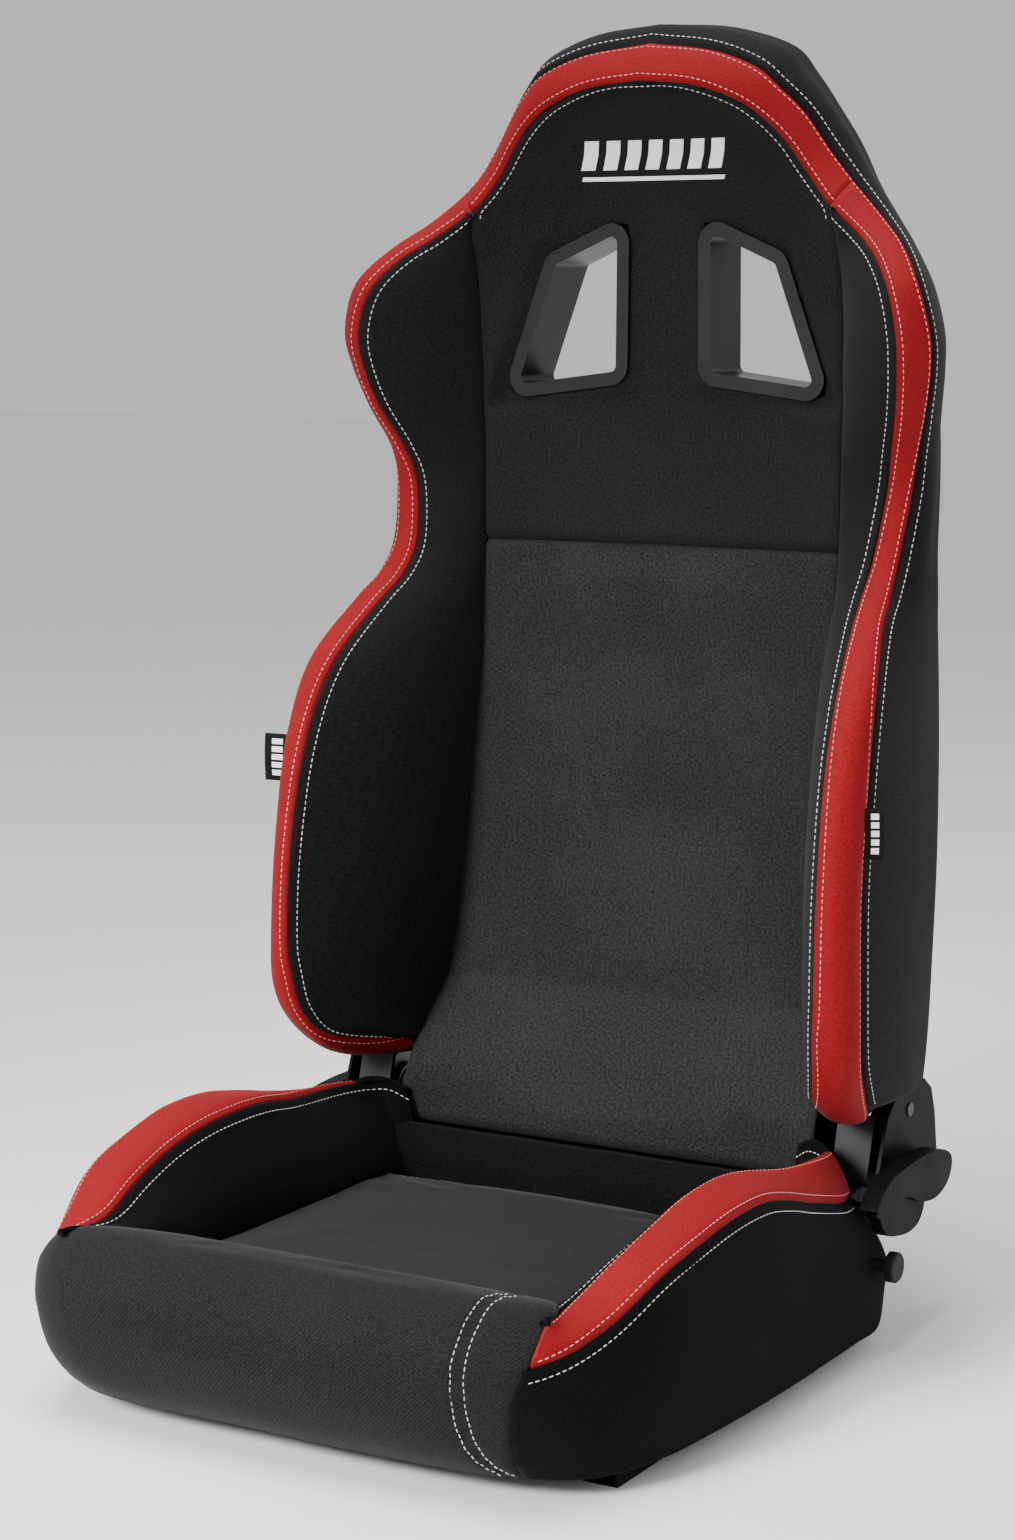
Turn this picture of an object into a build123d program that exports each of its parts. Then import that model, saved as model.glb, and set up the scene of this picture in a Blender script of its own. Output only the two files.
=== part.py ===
"""Reclining sports seat: steel base frame, foam cushion, hinged backrest and release levers.

Frame: X across the seat (positive to the sitter's left), -Y is the front, +Z up.
The origin is under the middle of the seat, on the plane of the mounting rails' undersides.
"""
import math
import os
from collections import namedtuple

from build123d import *

os.makedirs("parts", exist_ok=True)

# Mounting rails and base frame
RAIL_X = 190            # centre of each rail from the middle of the seat
RAIL_WIDTH = 36
RAIL_HEIGHT = 22
RAIL_WALL = 2
RAIL_FRONT = -206
RAIL_REAR = 152
MOUNT_FRONT_Y = -190    # front pair of M8 holes
MOUNT_REAR_Y = 110      # rear pair of M8 holes
BOLT_HOLE_R = 4.2
BASE_TUBE_R = 12.5
BASE_TUBE_Z = RAIL_HEIGHT + BASE_TUBE_R
WIRE_R = 2
PLATE_BOLTS = [(60, RAIL_HEIGHT / 2), (135, RAIL_HEIGHT / 2)]      # (y, z) of the base plate's bolts

# Recliner
PIVOT_Y = 195
PIVOT_Z = 122
PIVOT_R = 6
RELEASE_Y = 133
RELEASE_Z = 98
RELEASE_R = 5
RUNNING_GAP = 0.05      # radial clearance of every turning shaft
PLATE = 4               # thickness of the recliner's steel plates
BASE_PLATE_X = RAIL_X + RAIL_WIDTH / 2
ARM_X = BASE_PLATE_X + PLATE + 2
COVER_X = 226
COVER_SCREW = (199, 157)
FLANGE_X = 190          # inner edge of the back arm's front flange
STUD = (127, 61)        # side stud for a buckle strap
LEVER_INNER_X = 230
LEVER_OUTER_X = 248
RETURN_SPRING_X = 196
STUD_NECK = 34
ARM_BOLTS = [(208, 215), (211, 245)]

# Cushion
SKIRT_Z = 14            # lower edge of the cushion's side fabric
CUSHION_SEAM_X = 152
CUSHION_TOP = 86
CUSHION_BOTTOM = 56
CUSHION_FRONT = -225
CUSHION_REAR = 148
BAND_DEPTH = 5

# Backrest
HOOP_INSET = 30         # from the rear edge to the hoop's centre
SPRING_HEIGHTS = (290, 370, 450)
TAG_Z = 369
TAG_LENGTH = 35
BAND_ROOT_INNER = (0.5, 5)      # from a band's inner edge to the buried edge under it
BAND_ROOT_OUTER = (-3.5, 4)
FOAM_GAP = 0.8          # between the foam and the inside of the side cover
FAN_Z = 694             # above this height the sections fan out around the head
SHELL = 4               # thickness of the rear and side cover
PANEL_X = 165           # half width of the loose rear panel
SHOULDER_SEAM_Z = 554
SHOULDER_FRONT = 246
SHOULDER_REAR = 268
REAR_FACE = 289
FRAME_TUBE_R = 12.5
CROSS_TUBE_R = 10
BEZEL_RIM = 10
BEZEL_WALL = 2.5
BEZEL_FRONT = 241
BEZEL_CORNER_R = 15
BEZEL_REAR_DEPTH = 3

# Guide lines of the backrest, (height, half width, y), from the bottom up
SEAM_LINE = [(112, 175, 150), (138, 175, 148), (169, 172, 165), (179, 170, 175), (214, 166, 200),
             (244, 162, 208), (309, 157, 214), (384, 154, 222), (463, 150, 228), (554, 150, 232),
             (694, 152, 229)]
BAND_INNER_LINE = [(179, 208, 76), (214, 212, 66), (264, 214, 61), (330, 213, 65), (406, 211, 79),
                   (463, 208, 103), (506, 199, 146), (526, 193, 174), (554, 193, 198),
                   (600, 199, 208), (628, 206, 198), (660, 217, 179), (694, 223, 166)]
BAND_OUTER_LINE = [(179, 235, 98), (214, 237, 89), (330, 237, 88), (406, 237, 97), (463, 237, 107),
                   (506, 230, 139), (526, 222, 170), (554, 215, 200), (600, 218, 212),
                   (628, 222, 211), (660, 232, 199), (694, 241, 186)]
REAR_LINE = [(174, 228, 224), (229, 228, 232), (294, 228, 240), (364, 227, 248), (414, 224, 255),
             (484, 220, 262), (544, 215, 268), (604, 212, 275), (654, 209, 282), (694, 209, 286)]
HEIGHTS = [179, 214, 264, 330, 406, 463, 506, 526, 554, 600, 628, 660, 694]

# The same lines around the head, (fan angle, radius from the fan's centre, y)
BAND_INNER_FAN = [(0, 223, 166), (10, 224, 163), (20, 210, 182), (30, 194, 206), (45, 188, 218),
                  (60, 200, 210), (75, 204, 200), (90, 204, 200)]
BAND_OUTER_FAN = [(0, 241, 186), (10, 243, 179), (20, 236, 185), (30, 222, 192), (45, 219, 197),
                  (60, 224, 203), (75, 228, 211), (90, 229, 218)]
REAR_FAN = [(0, 209, 286), (10, 209, 287), (20, 212, 287), (30, 208, 287), (45, 216, 286),
            (60, 237, 281), (75, 252, 266), (90, 248, 255)]
SHOULDER_ANGLES = [10, 20, 30]
HEAD_ANGLES = [30, 45, 60, 75, 90]


def at(line, key):
    """The pair of values that a guide line has at a height or an angle."""
    for low, high in zip(line, line[1:]):
        if low[0] <= key <= high[0]:
            t = (key - low[0]) / (high[0] - low[0])
            return tuple(a + t * (b - a) for a, b in zip(low[1:], high[1:]))
    raise ValueError(f"{key} is off the line")


def inset(start, end, depth):
    """Both ends of a band's face, moved into the foam square to the face."""
    along = ((end[0] - start[0]) / math.dist(start, end), (end[1] - start[1]) / math.dist(start, end))
    shift = (-along[1] * depth, along[0] * depth)
    return [(p[0] + shift[0], p[1] + shift[1]) for p in (start, end)]


def level(height):
    """A horizontal section plane with its second axis towards the rear."""
    return Plane(origin=(0, 0, height), x_dir=(1, 0, 0), z_dir=(0, 0, 1))


def fan(angle):
    """A section plane that contains the fan's axis and leans up from the right."""
    a = math.radians(angle)
    return Plane(origin=(0, 0, FAN_Z), x_dir=(math.cos(a), 0, math.sin(a)),
                 z_dir=(-math.sin(a), 0, math.cos(a)))


def across(y):
    """A section plane square to the seat's depth: first axis X, second axis Z."""
    return Plane(origin=(0, y, 0), x_dir=(1, 0, 0), z_dir=(0, -1, 0))


def side(x):
    """A section plane square to the width: first axis Y, second axis Z."""
    return Plane(origin=(x, 0, 0), x_dir=(0, 1, 0), z_dir=(1, 0, 0))


def outline(points):
    """A filled polygon in the current sketch."""
    with BuildLine() as edge:
        Polyline(*points, close=True)
    make_face(edge.edges())


def ruled_body(sections):
    """A solid with straight rulings through a list of (plane, points)."""
    with BuildPart() as body:
        for plane, points in sections:
            with BuildSketch(plane):
                outline(points)
        loft(ruled=True)
    return body.part


def save(shape, name):
    """Label a finished piece and write it."""
    shape.label = name
    export_step(shape, f"parts/{name}.step")


def save_pair(shape, name):
    """Write a right-hand piece and its mirror image on the left."""
    save(shape, f"{name}_right")
    save(mirror(shape, about=Plane.YZ), f"{name}_left")


def pin(x_low, x_high, y, z, radius):
    """A round bar along X."""
    with BuildPart() as bar:
        with BuildSketch(side(x_low)):
            with Locations((y, z)):
                Circle(radius)
        extrude(amount=x_high - x_low)
    return bar.part


# ---------------------------------------------------------------- base frame
def build_rails():
    with BuildPart() as rail:
        with BuildSketch(across(RAIL_REAR)):
            with Locations((RAIL_X, RAIL_HEIGHT / 2)):
                Rectangle(RAIL_WIDTH, RAIL_HEIGHT)
                Rectangle(RAIL_WIDTH - 2 * RAIL_WALL, RAIL_HEIGHT - 2 * RAIL_WALL, mode=Mode.SUBTRACT)
        extrude(amount=RAIL_REAR - RAIL_FRONT)
        with Locations((RAIL_X, MOUNT_FRONT_Y, 0), (RAIL_X, MOUNT_REAR_Y, 0)):
            Cylinder(BOLT_HOLE_R, 2 * RAIL_WALL + 1, mode=Mode.SUBTRACT)
        with BuildSketch(side(BASE_PLATE_X)):
            with Locations(*PLATE_BOLTS):
                Circle(BOLT_HOLE_R)
        extrude(amount=-RAIL_WALL, mode=Mode.SUBTRACT)
    save_pair(rail.part, "mounting_rail")

    nut_height = 7
    with BuildPart() as nuts:
        with BuildSketch(Plane.XY.offset(RAIL_WALL)):
            for x in (RAIL_X, -RAIL_X):
                with Locations((x, MOUNT_FRONT_Y), (x, MOUNT_REAR_Y)):
                    RegularPolygon(7.5, 6)
                    Circle(BOLT_HOLE_R, mode=Mode.SUBTRACT)
        extrude(amount=nut_height)
    save(nuts.part, "weld_nuts")


def base_tube(y):
    half = RAIL_X + RAIL_WIDTH / 2 - 2
    return pin(-half, half, y, BASE_TUBE_Z, BASE_TUBE_R)


def wire_path(points, radius):
    """A bent wire swept along straight runs with rounded corners."""
    with BuildPart() as wire:
        with BuildLine() as path:
            FilletPolyline(*points, radius=radius)
        with BuildSketch(Plane(origin=path.line @ 0, z_dir=path.line % 0)):
            Circle(WIRE_R)
        sweep()
    return wire.part


def build_seat_springs():
    height = BASE_TUBE_Z + BASE_TUBE_R + WIRE_R
    swing = 14
    pitch = 30
    with BuildPart() as springs:
        for x in (-105, -35, 35, 105):
            points = [(x, MOUNT_FRONT_Y, height), (x, MOUNT_FRONT_Y + pitch / 2, height)]
            for turn in range(9):
                y = MOUNT_FRONT_Y + pitch * (turn + 0.5)
                out = swing if turn % 2 == 0 else -swing
                points += [(x + out, y + 0.1, height), (x + out, y + pitch - 0.1, height)]
            points += [(x, MOUNT_REAR_Y - pitch / 2, height), (x, MOUNT_REAR_Y, height)]
            add(wire_path(points, 6))
    save(springs.part, "seat_springs")


def base_plate_shape():
    with BuildPart() as plate:
        with BuildSketch(side(BASE_PLATE_X)):
            outline([(38, 4), (150, 4), (155, 34), (168, 54), (184, 96), (195, 122), (171, 122),
                     (150, 108), (112, 104), (96, 84), (66, 40), (38, 24)])
            with Locations((PIVOT_Y, PIVOT_Z)):
                Circle(25)
                Circle(PIVOT_R, mode=Mode.SUBTRACT)
            with Locations((RELEASE_Y, RELEASE_Z)):
                Circle(RELEASE_R + RUNNING_GAP, mode=Mode.SUBTRACT)
            with Locations(*PLATE_BOLTS):
                Circle(BOLT_HOLE_R, mode=Mode.SUBTRACT)
        extrude(amount=PLATE)
    return plate.part


def build_base_bolts():
    with BuildPart() as bolts:
        with BuildSketch(side(BASE_PLATE_X + PLATE)):
            with Locations(*PLATE_BOLTS):
                RegularPolygon(7.5, 6)
        extrude(amount=4)
        with BuildSketch(side(BASE_PLATE_X - RAIL_WALL)):
            with Locations(*PLATE_BOLTS):
                Circle(4)
        extrude(amount=PLATE + RAIL_WALL)
        mirror(about=Plane.YZ)
    save(bolts.part, "base_plate_bolts")


def disc(x, thickness, radius, bore):
    """A round plate on the pivot's axis."""
    with BuildPart() as plate:
        with BuildSketch(side(x)):
            with Locations((PIVOT_Y, PIVOT_Z)):
                Circle(radius)
                Circle(bore, mode=Mode.SUBTRACT)
        extrude(amount=thickness)
    return plate.part


def build_return_springs():
    """Flat spiral springs on the pivot shaft, two and a half turns."""
    turns = 2.5
    inner = PIVOT_R + 0.5
    pitch = 5
    steps = 50
    strip = 1.6
    inner_edge = []
    outer_edge = []
    for i in range(steps + 1):
        angle = 2 * math.pi * turns * i / steps
        radius = inner + pitch * turns * i / steps
        unit = (math.cos(angle), math.sin(angle))
        inner_edge.append((PIVOT_Y + radius * unit[0], PIVOT_Z + radius * unit[1]))
        outer_edge.append((PIVOT_Y + (radius + strip) * unit[0], PIVOT_Z + (radius + strip) * unit[1]))
    with BuildPart() as spring:
        with BuildSketch(side(RETURN_SPRING_X)):
            outline(inner_edge + outer_edge[::-1])
        extrude(amount=6)
    save_pair(spring.part, "return_spring")


def build_studs():
    face = BASE_PLATE_X + PLATE
    with BuildPart() as stud:
        with BuildSketch(side(face)):
            with Locations(STUD):
                Circle(5)
        extrude(amount=STUD_NECK)
        with BuildSketch(side(face + STUD_NECK)):
            with Locations(STUD):
                Circle(11)
        extrude(amount=7)
        chamfer(stud.faces().sort_by(Axis.X)[-1].edges(), 1.2)
    save_pair(stud.part, "side_stud")


# ---------------------------------------------------------------- cushion
BOLSTER_STATIONS = [
    # y, inner band edge (x, z), outer band edge (x, z)
    (CUSHION_FRONT, (182, 119), (228, 133)),
    (-176, (189, 137), (231, 142)),
    (-134, (194, 151), (231, 147)),
    (-46, (197, 161), (231, 152)),
    (20, (200, 156), (231, 135)),
    (78, (204, 142), (226, 119)),
    (110, (206, 120), (222, 108)),
]


def bolster_section(y, inner_edge, outer_edge):
    band = inset(inner_edge, outer_edge, -BAND_DEPTH)
    wall_x = 239 if y < 60 else 227
    wall_top = (wall_x, outer_edge[1] - 10)
    crown = (CUSHION_SEAM_X + 0.3 * (inner_edge[0] - CUSHION_SEAM_X),
             CUSHION_TOP + 0.5 * (inner_edge[1] - CUSHION_TOP))
    return [(CUSHION_SEAM_X, CUSHION_TOP), crown, inner_edge, *band, outer_edge, wall_top,
            (wall_x, SKIRT_Z),
            (225, SKIRT_Z), (225, 30), (CUSHION_SEAM_X, 30)]


def build_cushion(tubes):
    bolster_sections = [(across(y), bolster_section(y, c, d)) for y, c, d in BOLSTER_STATIONS]
    band_sections = []
    for y, inner_edge, outer_edge in BOLSTER_STATIONS:
        band = inset(inner_edge, outer_edge, -BAND_DEPTH)
        band_sections.append((across(y), [inner_edge, outer_edge, band[1], band[0]]))
    save_pair(ruled_body(band_sections), "cushion_band")

    slot = 0.3
    with BuildPart() as bolster:
        add(ruled_body(bolster_sections))
        add(tubes, mode=Mode.SUBTRACT)
        with BuildSketch(side(BASE_PLATE_X - slot)):
            with Locations((110, 80)):
                Rectangle(150, 170)
        extrude(amount=PLATE + 2 * slot, mode=Mode.SUBTRACT)
    save_pair(bolster.part, "cushion_bolster")

    with BuildPart() as pad:
        with BuildSketch(across(CUSHION_REAR)):
            outline([(-CUSHION_SEAM_X, CUSHION_BOTTOM), (CUSHION_SEAM_X, CUSHION_BOTTOM),
                     (CUSHION_SEAM_X, CUSHION_TOP), (70, CUSHION_TOP + 4), (-70, CUSHION_TOP + 4),
                     (-CUSHION_SEAM_X, CUSHION_TOP)])
        extrude(amount=CUSHION_REAR - CUSHION_FRONT)
    save(pad.part, "cushion_centre_pad")

    # (half width, how far the front and the top draw in)
    ends = [(150, 0, 0), (205, 6, 2), (232, 24, 8), (246, 36, 24)]
    sections = []
    for x, draw, drop in [(-x, f, d) for x, f, d in ends[::-1]] + ends:
        front = [(CUSHION_FRONT, 24), (CUSHION_FRONT, 122 - drop), (-246, 130 - drop),
                 (-272 + draw * 0.5, 122 - drop), (-287 + draw, 96 - drop * 0.5),
                 (-292 + draw, 66), (-284 + draw, 38), (-264 + draw * 0.6, SKIRT_Z), (-232, SKIRT_Z)]
        sections.append((side(x), front))
    with BuildPart() as roll:
        add(ruled_body(sections))
    save(roll.part, "cushion_front_roll")


def build_base():
    build_rails()
    front_tube = base_tube(MOUNT_FRONT_Y)
    rear_tube = base_tube(MOUNT_REAR_Y)
    build_cushion([front_tube, rear_tube])
    save(front_tube, "base_front_tube")
    save(rear_tube, "base_rear_tube")
    build_seat_springs()
    save_pair(base_plate_shape(), "base_plate")
    build_base_bolts()
    save_pair(disc(BASE_PLATE_X - 5, 5, 28, PIVOT_R), "recliner_disc")
    save(pin(-224, 224, PIVOT_Y, PIVOT_Z, PIVOT_R), "pivot_shaft")
    build_return_springs()
    build_studs()


# ---------------------------------------------------------------- backrest
def frame_y(height):
    return at(REAR_LINE, height)[1] - HOOP_INSET


def hoop():
    """The tube that runs up one side, around the head and down the other side."""
    right = [(190, frame_y(190), 190), (184, 257, 690), (166, 256, 775), (128, 253, 835),
             (98, 250, 880), (60, 249, 896)]
    points = right + [(-x, y, z) for x, y, z in right[::-1]]
    with BuildPart() as tube:
        with BuildLine() as path:
            FilletPolyline(*points, radius=30)
        with BuildSketch(Plane(origin=path.line @ 0, z_dir=path.line % 0)):
            Circle(FRAME_TUBE_R)
        sweep()
    return tube.part


def cross_tube(y, z, half):
    return pin(-half, half, y, z, CROSS_TUBE_R)


def back_section(station):
    """Points that every part of one backrest section shares."""
    rear = station.rear
    band = [(station.inner[0] + BAND_ROOT_INNER[0], station.inner[1] + BAND_ROOT_INNER[1]),
            (station.outer[0] + BAND_ROOT_OUTER[0], station.outer[1] + BAND_ROOT_OUTER[1])]
    wall_inner = (rear[0] - SHELL, rear[1] - SHELL)
    corner = (rear[0] - 14, min(rear[1] + 3, REAR_FACE))
    foam_y = max(rear[1] - 46, band[1][1] + 12)
    span = (foam_y - band[1][1]) / (wall_inner[1] - band[1][1])
    foam_x = band[1][0] + span * (wall_inner[0] - band[1][0]) - FOAM_GAP
    return {"band": band, "wall_inner": wall_inner, "corner": corner, "foam": (foam_x, foam_y)}


def panel_y(height):
    return min(at(REAR_LINE, height)[1] + 6, REAR_FACE)


Station = namedtuple("Station", "plane height inner outer rear seam")


def stations(angles_first, angles_last):
    """Section planes and guide points of the right side, from the bottom up."""
    rows = []
    for height in HEIGHTS if angles_first == 0 else []:
        rows.append(Station(level(height), height, at(BAND_INNER_LINE, height),
                            at(BAND_OUTER_LINE, height), at(REAR_LINE, height), at(SEAM_LINE, height)))
    for angle in sorted(set(SHOULDER_ANGLES + HEAD_ANGLES)):
        if angles_first <= angle <= angles_last:
            seam = (152 / math.cos(math.radians(angle)), 229) if angle <= 30 else None
            rows.append(Station(fan(angle), FAN_Z, at(BAND_INNER_FAN, angle),
                                at(BAND_OUTER_FAN, angle), at(REAR_FAN, angle), seam))
    return rows


def build_side_foam(tubes):
    sections = []
    for station in stations(0, 30):
        shape = back_section(station)
        foam = shape["foam"]
        seam = station.seam
        sections.append((station.plane, [seam, station.inner, *shape["band"], foam,
                                         (max(foam[0] - 42, seam[0] + 4), foam[1]),
                                         (seam[0], station.rear[1] - 8)]))
    with BuildPart() as bolster:
        add(ruled_body(sections))
        add(tubes, mode=Mode.SUBTRACT)
    save_pair(bolster.part, "back_bolster")


def band_sections(first, last):
    sections = []
    for station in stations(first, last):
        band = back_section(station)["band"]
        sections.append((station.plane, [station.inner, station.outer, band[1], band[0]]))
    return sections


def build_head():
    band = ruled_body(band_sections(30, 90))
    with BuildPart() as head_band:
        add(band)
        mirror(about=Plane.YZ)
    save(head_band.part, "back_band_head")

    sections = []
    for station in stations(30, 90):
        shape = back_section(station)
        foam = shape["foam"]
        root = station.inner[0] - 14
        sections.append((station.plane, [(root, station.inner[1] + 14), station.inner, *shape["band"],
                                         foam, (root, foam[1])]))
    with BuildPart() as roll:
        add(ruled_body(sections))
        mirror(about=Plane.YZ)
    save(roll.part, "back_head_roll")


def build_side_cover():
    sections = []
    for station in stations(0, 90):
        shape = back_section(station)
        corner = shape["corner"]
        back = panel_y(station.height) if station.height < FAN_Z else REAR_FACE
        sections.append((station.plane, [station.outer, station.rear, corner, (PANEL_X, back),
                                         (PANEL_X, back - SHELL), (corner[0], corner[1] - SHELL),
                                         shape["wall_inner"], shape["band"][1]]))
    with BuildPart() as cover:
        add(ruled_body(sections))
        mirror(about=Plane.YZ)
    save(cover.part, "back_side_cover")


def slot_outline(offset_by):
    """One harness slot's outline on the right, grown or shrunk, as a sketch on y = 0."""
    corners = [(29, 803), (100, 772), (140, 662), (30, 676)]
    with BuildSketch(across(0)) as shape:
        outline(corners)
        fillet(shape.vertices(), BEZEL_CORNER_R)
        if offset_by:
            offset(amount=offset_by)
    return shape.sketch


def slot_ring(outer, inner, y_low, y_high):
    """A ring or sleeve around the right slot between two depths."""
    with BuildPart() as ring:
        add(extrude(slot_outline(outer).moved(Location((0, y_high, 0))), amount=y_high - y_low))
        if inner is not None:
            hole = extrude(slot_outline(inner).moved(Location((0, y_high + 1, 0))),
                           amount=y_high - y_low + 2)
            add(hole, mode=Mode.SUBTRACT)
    return ring.part


def build_bezels():
    sleeve = BEZEL_RIM - BEZEL_WALL
    with BuildPart() as bezel:
        add(slot_ring(0, -BEZEL_RIM, BEZEL_FRONT, SHOULDER_FRONT))
        add(slot_ring(-sleeve, -BEZEL_RIM, SHOULDER_FRONT, REAR_FACE))
    save_pair(bezel.part, "harness_bezel_front")
    with BuildPart() as ring:
        add(slot_ring(-2, -BEZEL_RIM, REAR_FACE, REAR_FACE + BEZEL_REAR_DEPTH))
    save_pair(ring.part, "harness_bezel_rear")


def slot_cuts():
    right = slot_ring(-(BEZEL_RIM - BEZEL_WALL), None, SHOULDER_FRONT - 20, REAR_FACE + 5)
    return [right, mirror(right, about=Plane.YZ)]


def build_rear_panel(cuts):
    lower = []
    for height in HEIGHTS:
        back = panel_y(height) if height < FAN_Z else REAR_FACE
        lower.append((level(height), [(-PANEL_X, back - SHELL), (PANEL_X, back - SHELL),
                                      (PANEL_X, back), (-PANEL_X, back)]))
    arc = [0] + sorted(set(SHOULDER_ANGLES + HEAD_ANGLES))
    rim = [(PANEL_X * math.cos(math.radians(a)), FAN_Z + PANEL_X * math.sin(math.radians(a))) for a in arc]
    with BuildPart() as panel:
        add(ruled_body(lower))
        with BuildSketch(across(REAR_FACE)):
            outline(rim + [(-x, z) for x, z in rim[:-1][::-1]])
        extrude(amount=SHELL)
        add(cuts, mode=Mode.SUBTRACT)
    save(panel.part, "back_rear_panel")


def build_centre_pads(cuts, tubes):
    heights = [112, 138, 169] + HEIGHTS[:HEIGHTS.index(SHOULDER_SEAM_Z) + 1]
    lower = []
    for height in heights:
        seam = at(SEAM_LINE, height)
        rear = at(REAR_LINE, height)[1] - 8 if height >= 179 else 183
        lower.append((level(height), [(-seam[0], seam[1]), (0, seam[1] + 6), seam, (seam[0], rear),
                                      (-seam[0], rear)]))
    with BuildPart() as lumbar:
        add(ruled_body(lower))
        add(tubes, mode=Mode.SUBTRACT)
    save(lumbar.part, "back_lumbar_pad")

    edge = [(150, SHOULDER_SEAM_Z), (151, 758), (136, 788), (110, 830), (86, 862), (48, 878)]
    with BuildPart() as shoulder:
        with BuildSketch(across(SHOULDER_REAR)):
            outline(edge + [(-x, z) for x, z in edge[::-1]])
        extrude(amount=SHOULDER_REAR - SHOULDER_FRONT)
        add(cuts, mode=Mode.SUBTRACT)
        add(tubes, mode=Mode.SUBTRACT)
    save(shoulder.part, "back_shoulder_pad")


def build_back_springs():
    swing = 14
    pitch = 28
    with BuildPart() as springs:
        for height in SPRING_HEIGHTS:
            y = at(REAR_LINE, height)[1] - 2
            start = -166
            points = [(start, y, height), (start + pitch / 2, y, height)]
            for turn in range(11):
                x = start + pitch * (turn + 0.5)
                out = swing if turn % 2 == 0 else -swing
                points += [(x + 0.1, y, height + out), (x + pitch - 0.1, y, height + out)]
            points += [(-start - pitch / 2 + 4, y, height), (-start, y, height)]
            add(wire_path(points, 6))
    save(springs.part, "back_springs")

    with BuildPart() as clips:
        for height in SPRING_HEIGHTS:
            tube_y = frame_y(height) + FRAME_TUBE_R - 1
            wire_y = at(REAR_LINE, height)[1] - 2 + WIRE_R
            for x in (-174, 174):
                with Locations((x, (tube_y + wire_y) / 2, height)):
                    Box(16, wire_y - tube_y, 12)
    return clips.part


def arm_shape():
    with BuildPart() as arm:
        with BuildSketch(side(ARM_X)):
            outline([(147, 113), (161, 159), (184, 176), (192, 200), (197, 258), (225, 258), (219, 200),
                     (216, 176), (229, 168), (239, 160), (244, 140), (246, 116), (225, 102), (195, 97),
                     (165, 104)])
            with Locations((PIVOT_Y, PIVOT_Z)):
                Circle(PIVOT_R + RUNNING_GAP, mode=Mode.SUBTRACT)
            with Locations(*ARM_BOLTS, COVER_SCREW):
                Circle(4.2, mode=Mode.SUBTRACT)
        extrude(amount=PLATE)
        with BuildSketch(side(ARM_X + PLATE)):
            outline([(147, 113), (161, 159), (164.5, 158), (150.5, 112)])
        extrude(amount=-(ARM_X + PLATE - FLANGE_X))
    return arm.part


def build_arm_hardware(tube):
    with BuildPart() as spacers:
        for y, z in ARM_BOLTS:
            with BuildSketch(side(FLANGE_X)):
                with Locations((y, z)):
                    Circle(9)
            extrude(amount=ARM_X - FLANGE_X)
        add(tube, mode=Mode.SUBTRACT)
        mirror(about=Plane.YZ)
    solids = [s for s in spacers.part.solids() if abs(s.center().X) > 195]
    with BuildPart() as bolts:
        for y, z in ARM_BOLTS:
            with BuildSketch(side(ARM_X)):
                with Locations((y, z)):
                    Circle(4)
            extrude(amount=PLATE)
            with BuildSketch(side(ARM_X + PLATE)):
                with Locations((y, z)):
                    Circle(7)
            extrude(amount=3)
        mirror(about=Plane.YZ)
    save(Compound(children=solids), "arm_spacers")
    save(bolts.part, "arm_bolts")


def build_covers():
    with BuildPart() as cover:
        with BuildSketch(side(COVER_X)):
            outline([(143, 115), (161, 159), (176, 172), (189, 178), (210, 178), (229, 172), (239, 165),
                     (246, 146), (251, 116), (225, 107), (195, 104), (165, 106)])
            with Locations(COVER_SCREW):
                Circle(3, mode=Mode.SUBTRACT)
        extrude(amount=2.5)
        with BuildSketch(side(ARM_X + PLATE)):
            with Locations(COVER_SCREW):
                Circle(7)
                Circle(3, mode=Mode.SUBTRACT)
        extrude(amount=COVER_X - ARM_X - PLATE)
    save_pair(cover.part, "recliner_cover")

    with BuildPart() as screw:
        with BuildSketch(side(ARM_X)):
            with Locations(COVER_SCREW):
                Circle(2.9)
        extrude(amount=COVER_X + 2.5 - ARM_X)
        with BuildSketch(side(COVER_X + 2.5)):
            with Locations(COVER_SCREW):
                Circle(5)
        extrude(amount=1)
    save_pair(screw.part, "cover_screw")


def build_tags():
    with BuildPart() as tag:
        with BuildSketch(level(TAG_Z)):
            outline([(237.2, 91), (249, 97), (248.4, 98.2), (237.2, 93)])
        extrude(amount=TAG_LENGTH)
    save_pair(tag.part, "side_tag")


def build_backrest():
    tube = hoop()
    lower_tube = cross_tube(205, 196, 188)
    upper_tube = cross_tube(260, 606, 182)
    tubes = [tube, lower_tube, upper_tube]
    build_side_foam(tubes)
    save_pair(ruled_body(band_sections(0, 30)), "back_band")
    build_head()
    build_side_cover()
    cuts = slot_cuts()
    build_rear_panel(cuts)
    build_centre_pads(cuts, [lower_tube, upper_tube])
    build_bezels()
    clips = build_back_springs()
    for shape, name in ((lower_tube, "back_lower_tube"), (upper_tube, "back_upper_tube"),
                        (clips, "back_spring_clips")):
        with BuildPart() as trimmed:
            add(shape)
            add(tube, mode=Mode.SUBTRACT)
        pieces = [s for s in trimmed.part.solids() if s.volume > 500]
        save(Compound(children=pieces), name)
    save(tube, "back_frame_hoop")
    save_pair(arm_shape(), "back_arm")
    build_arm_hardware(tube)
    save_pair(disc(ARM_X + PLATE, 3, 22, PIVOT_R + RUNNING_GAP), "arm_disc")
    build_covers()
    build_tags()


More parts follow.
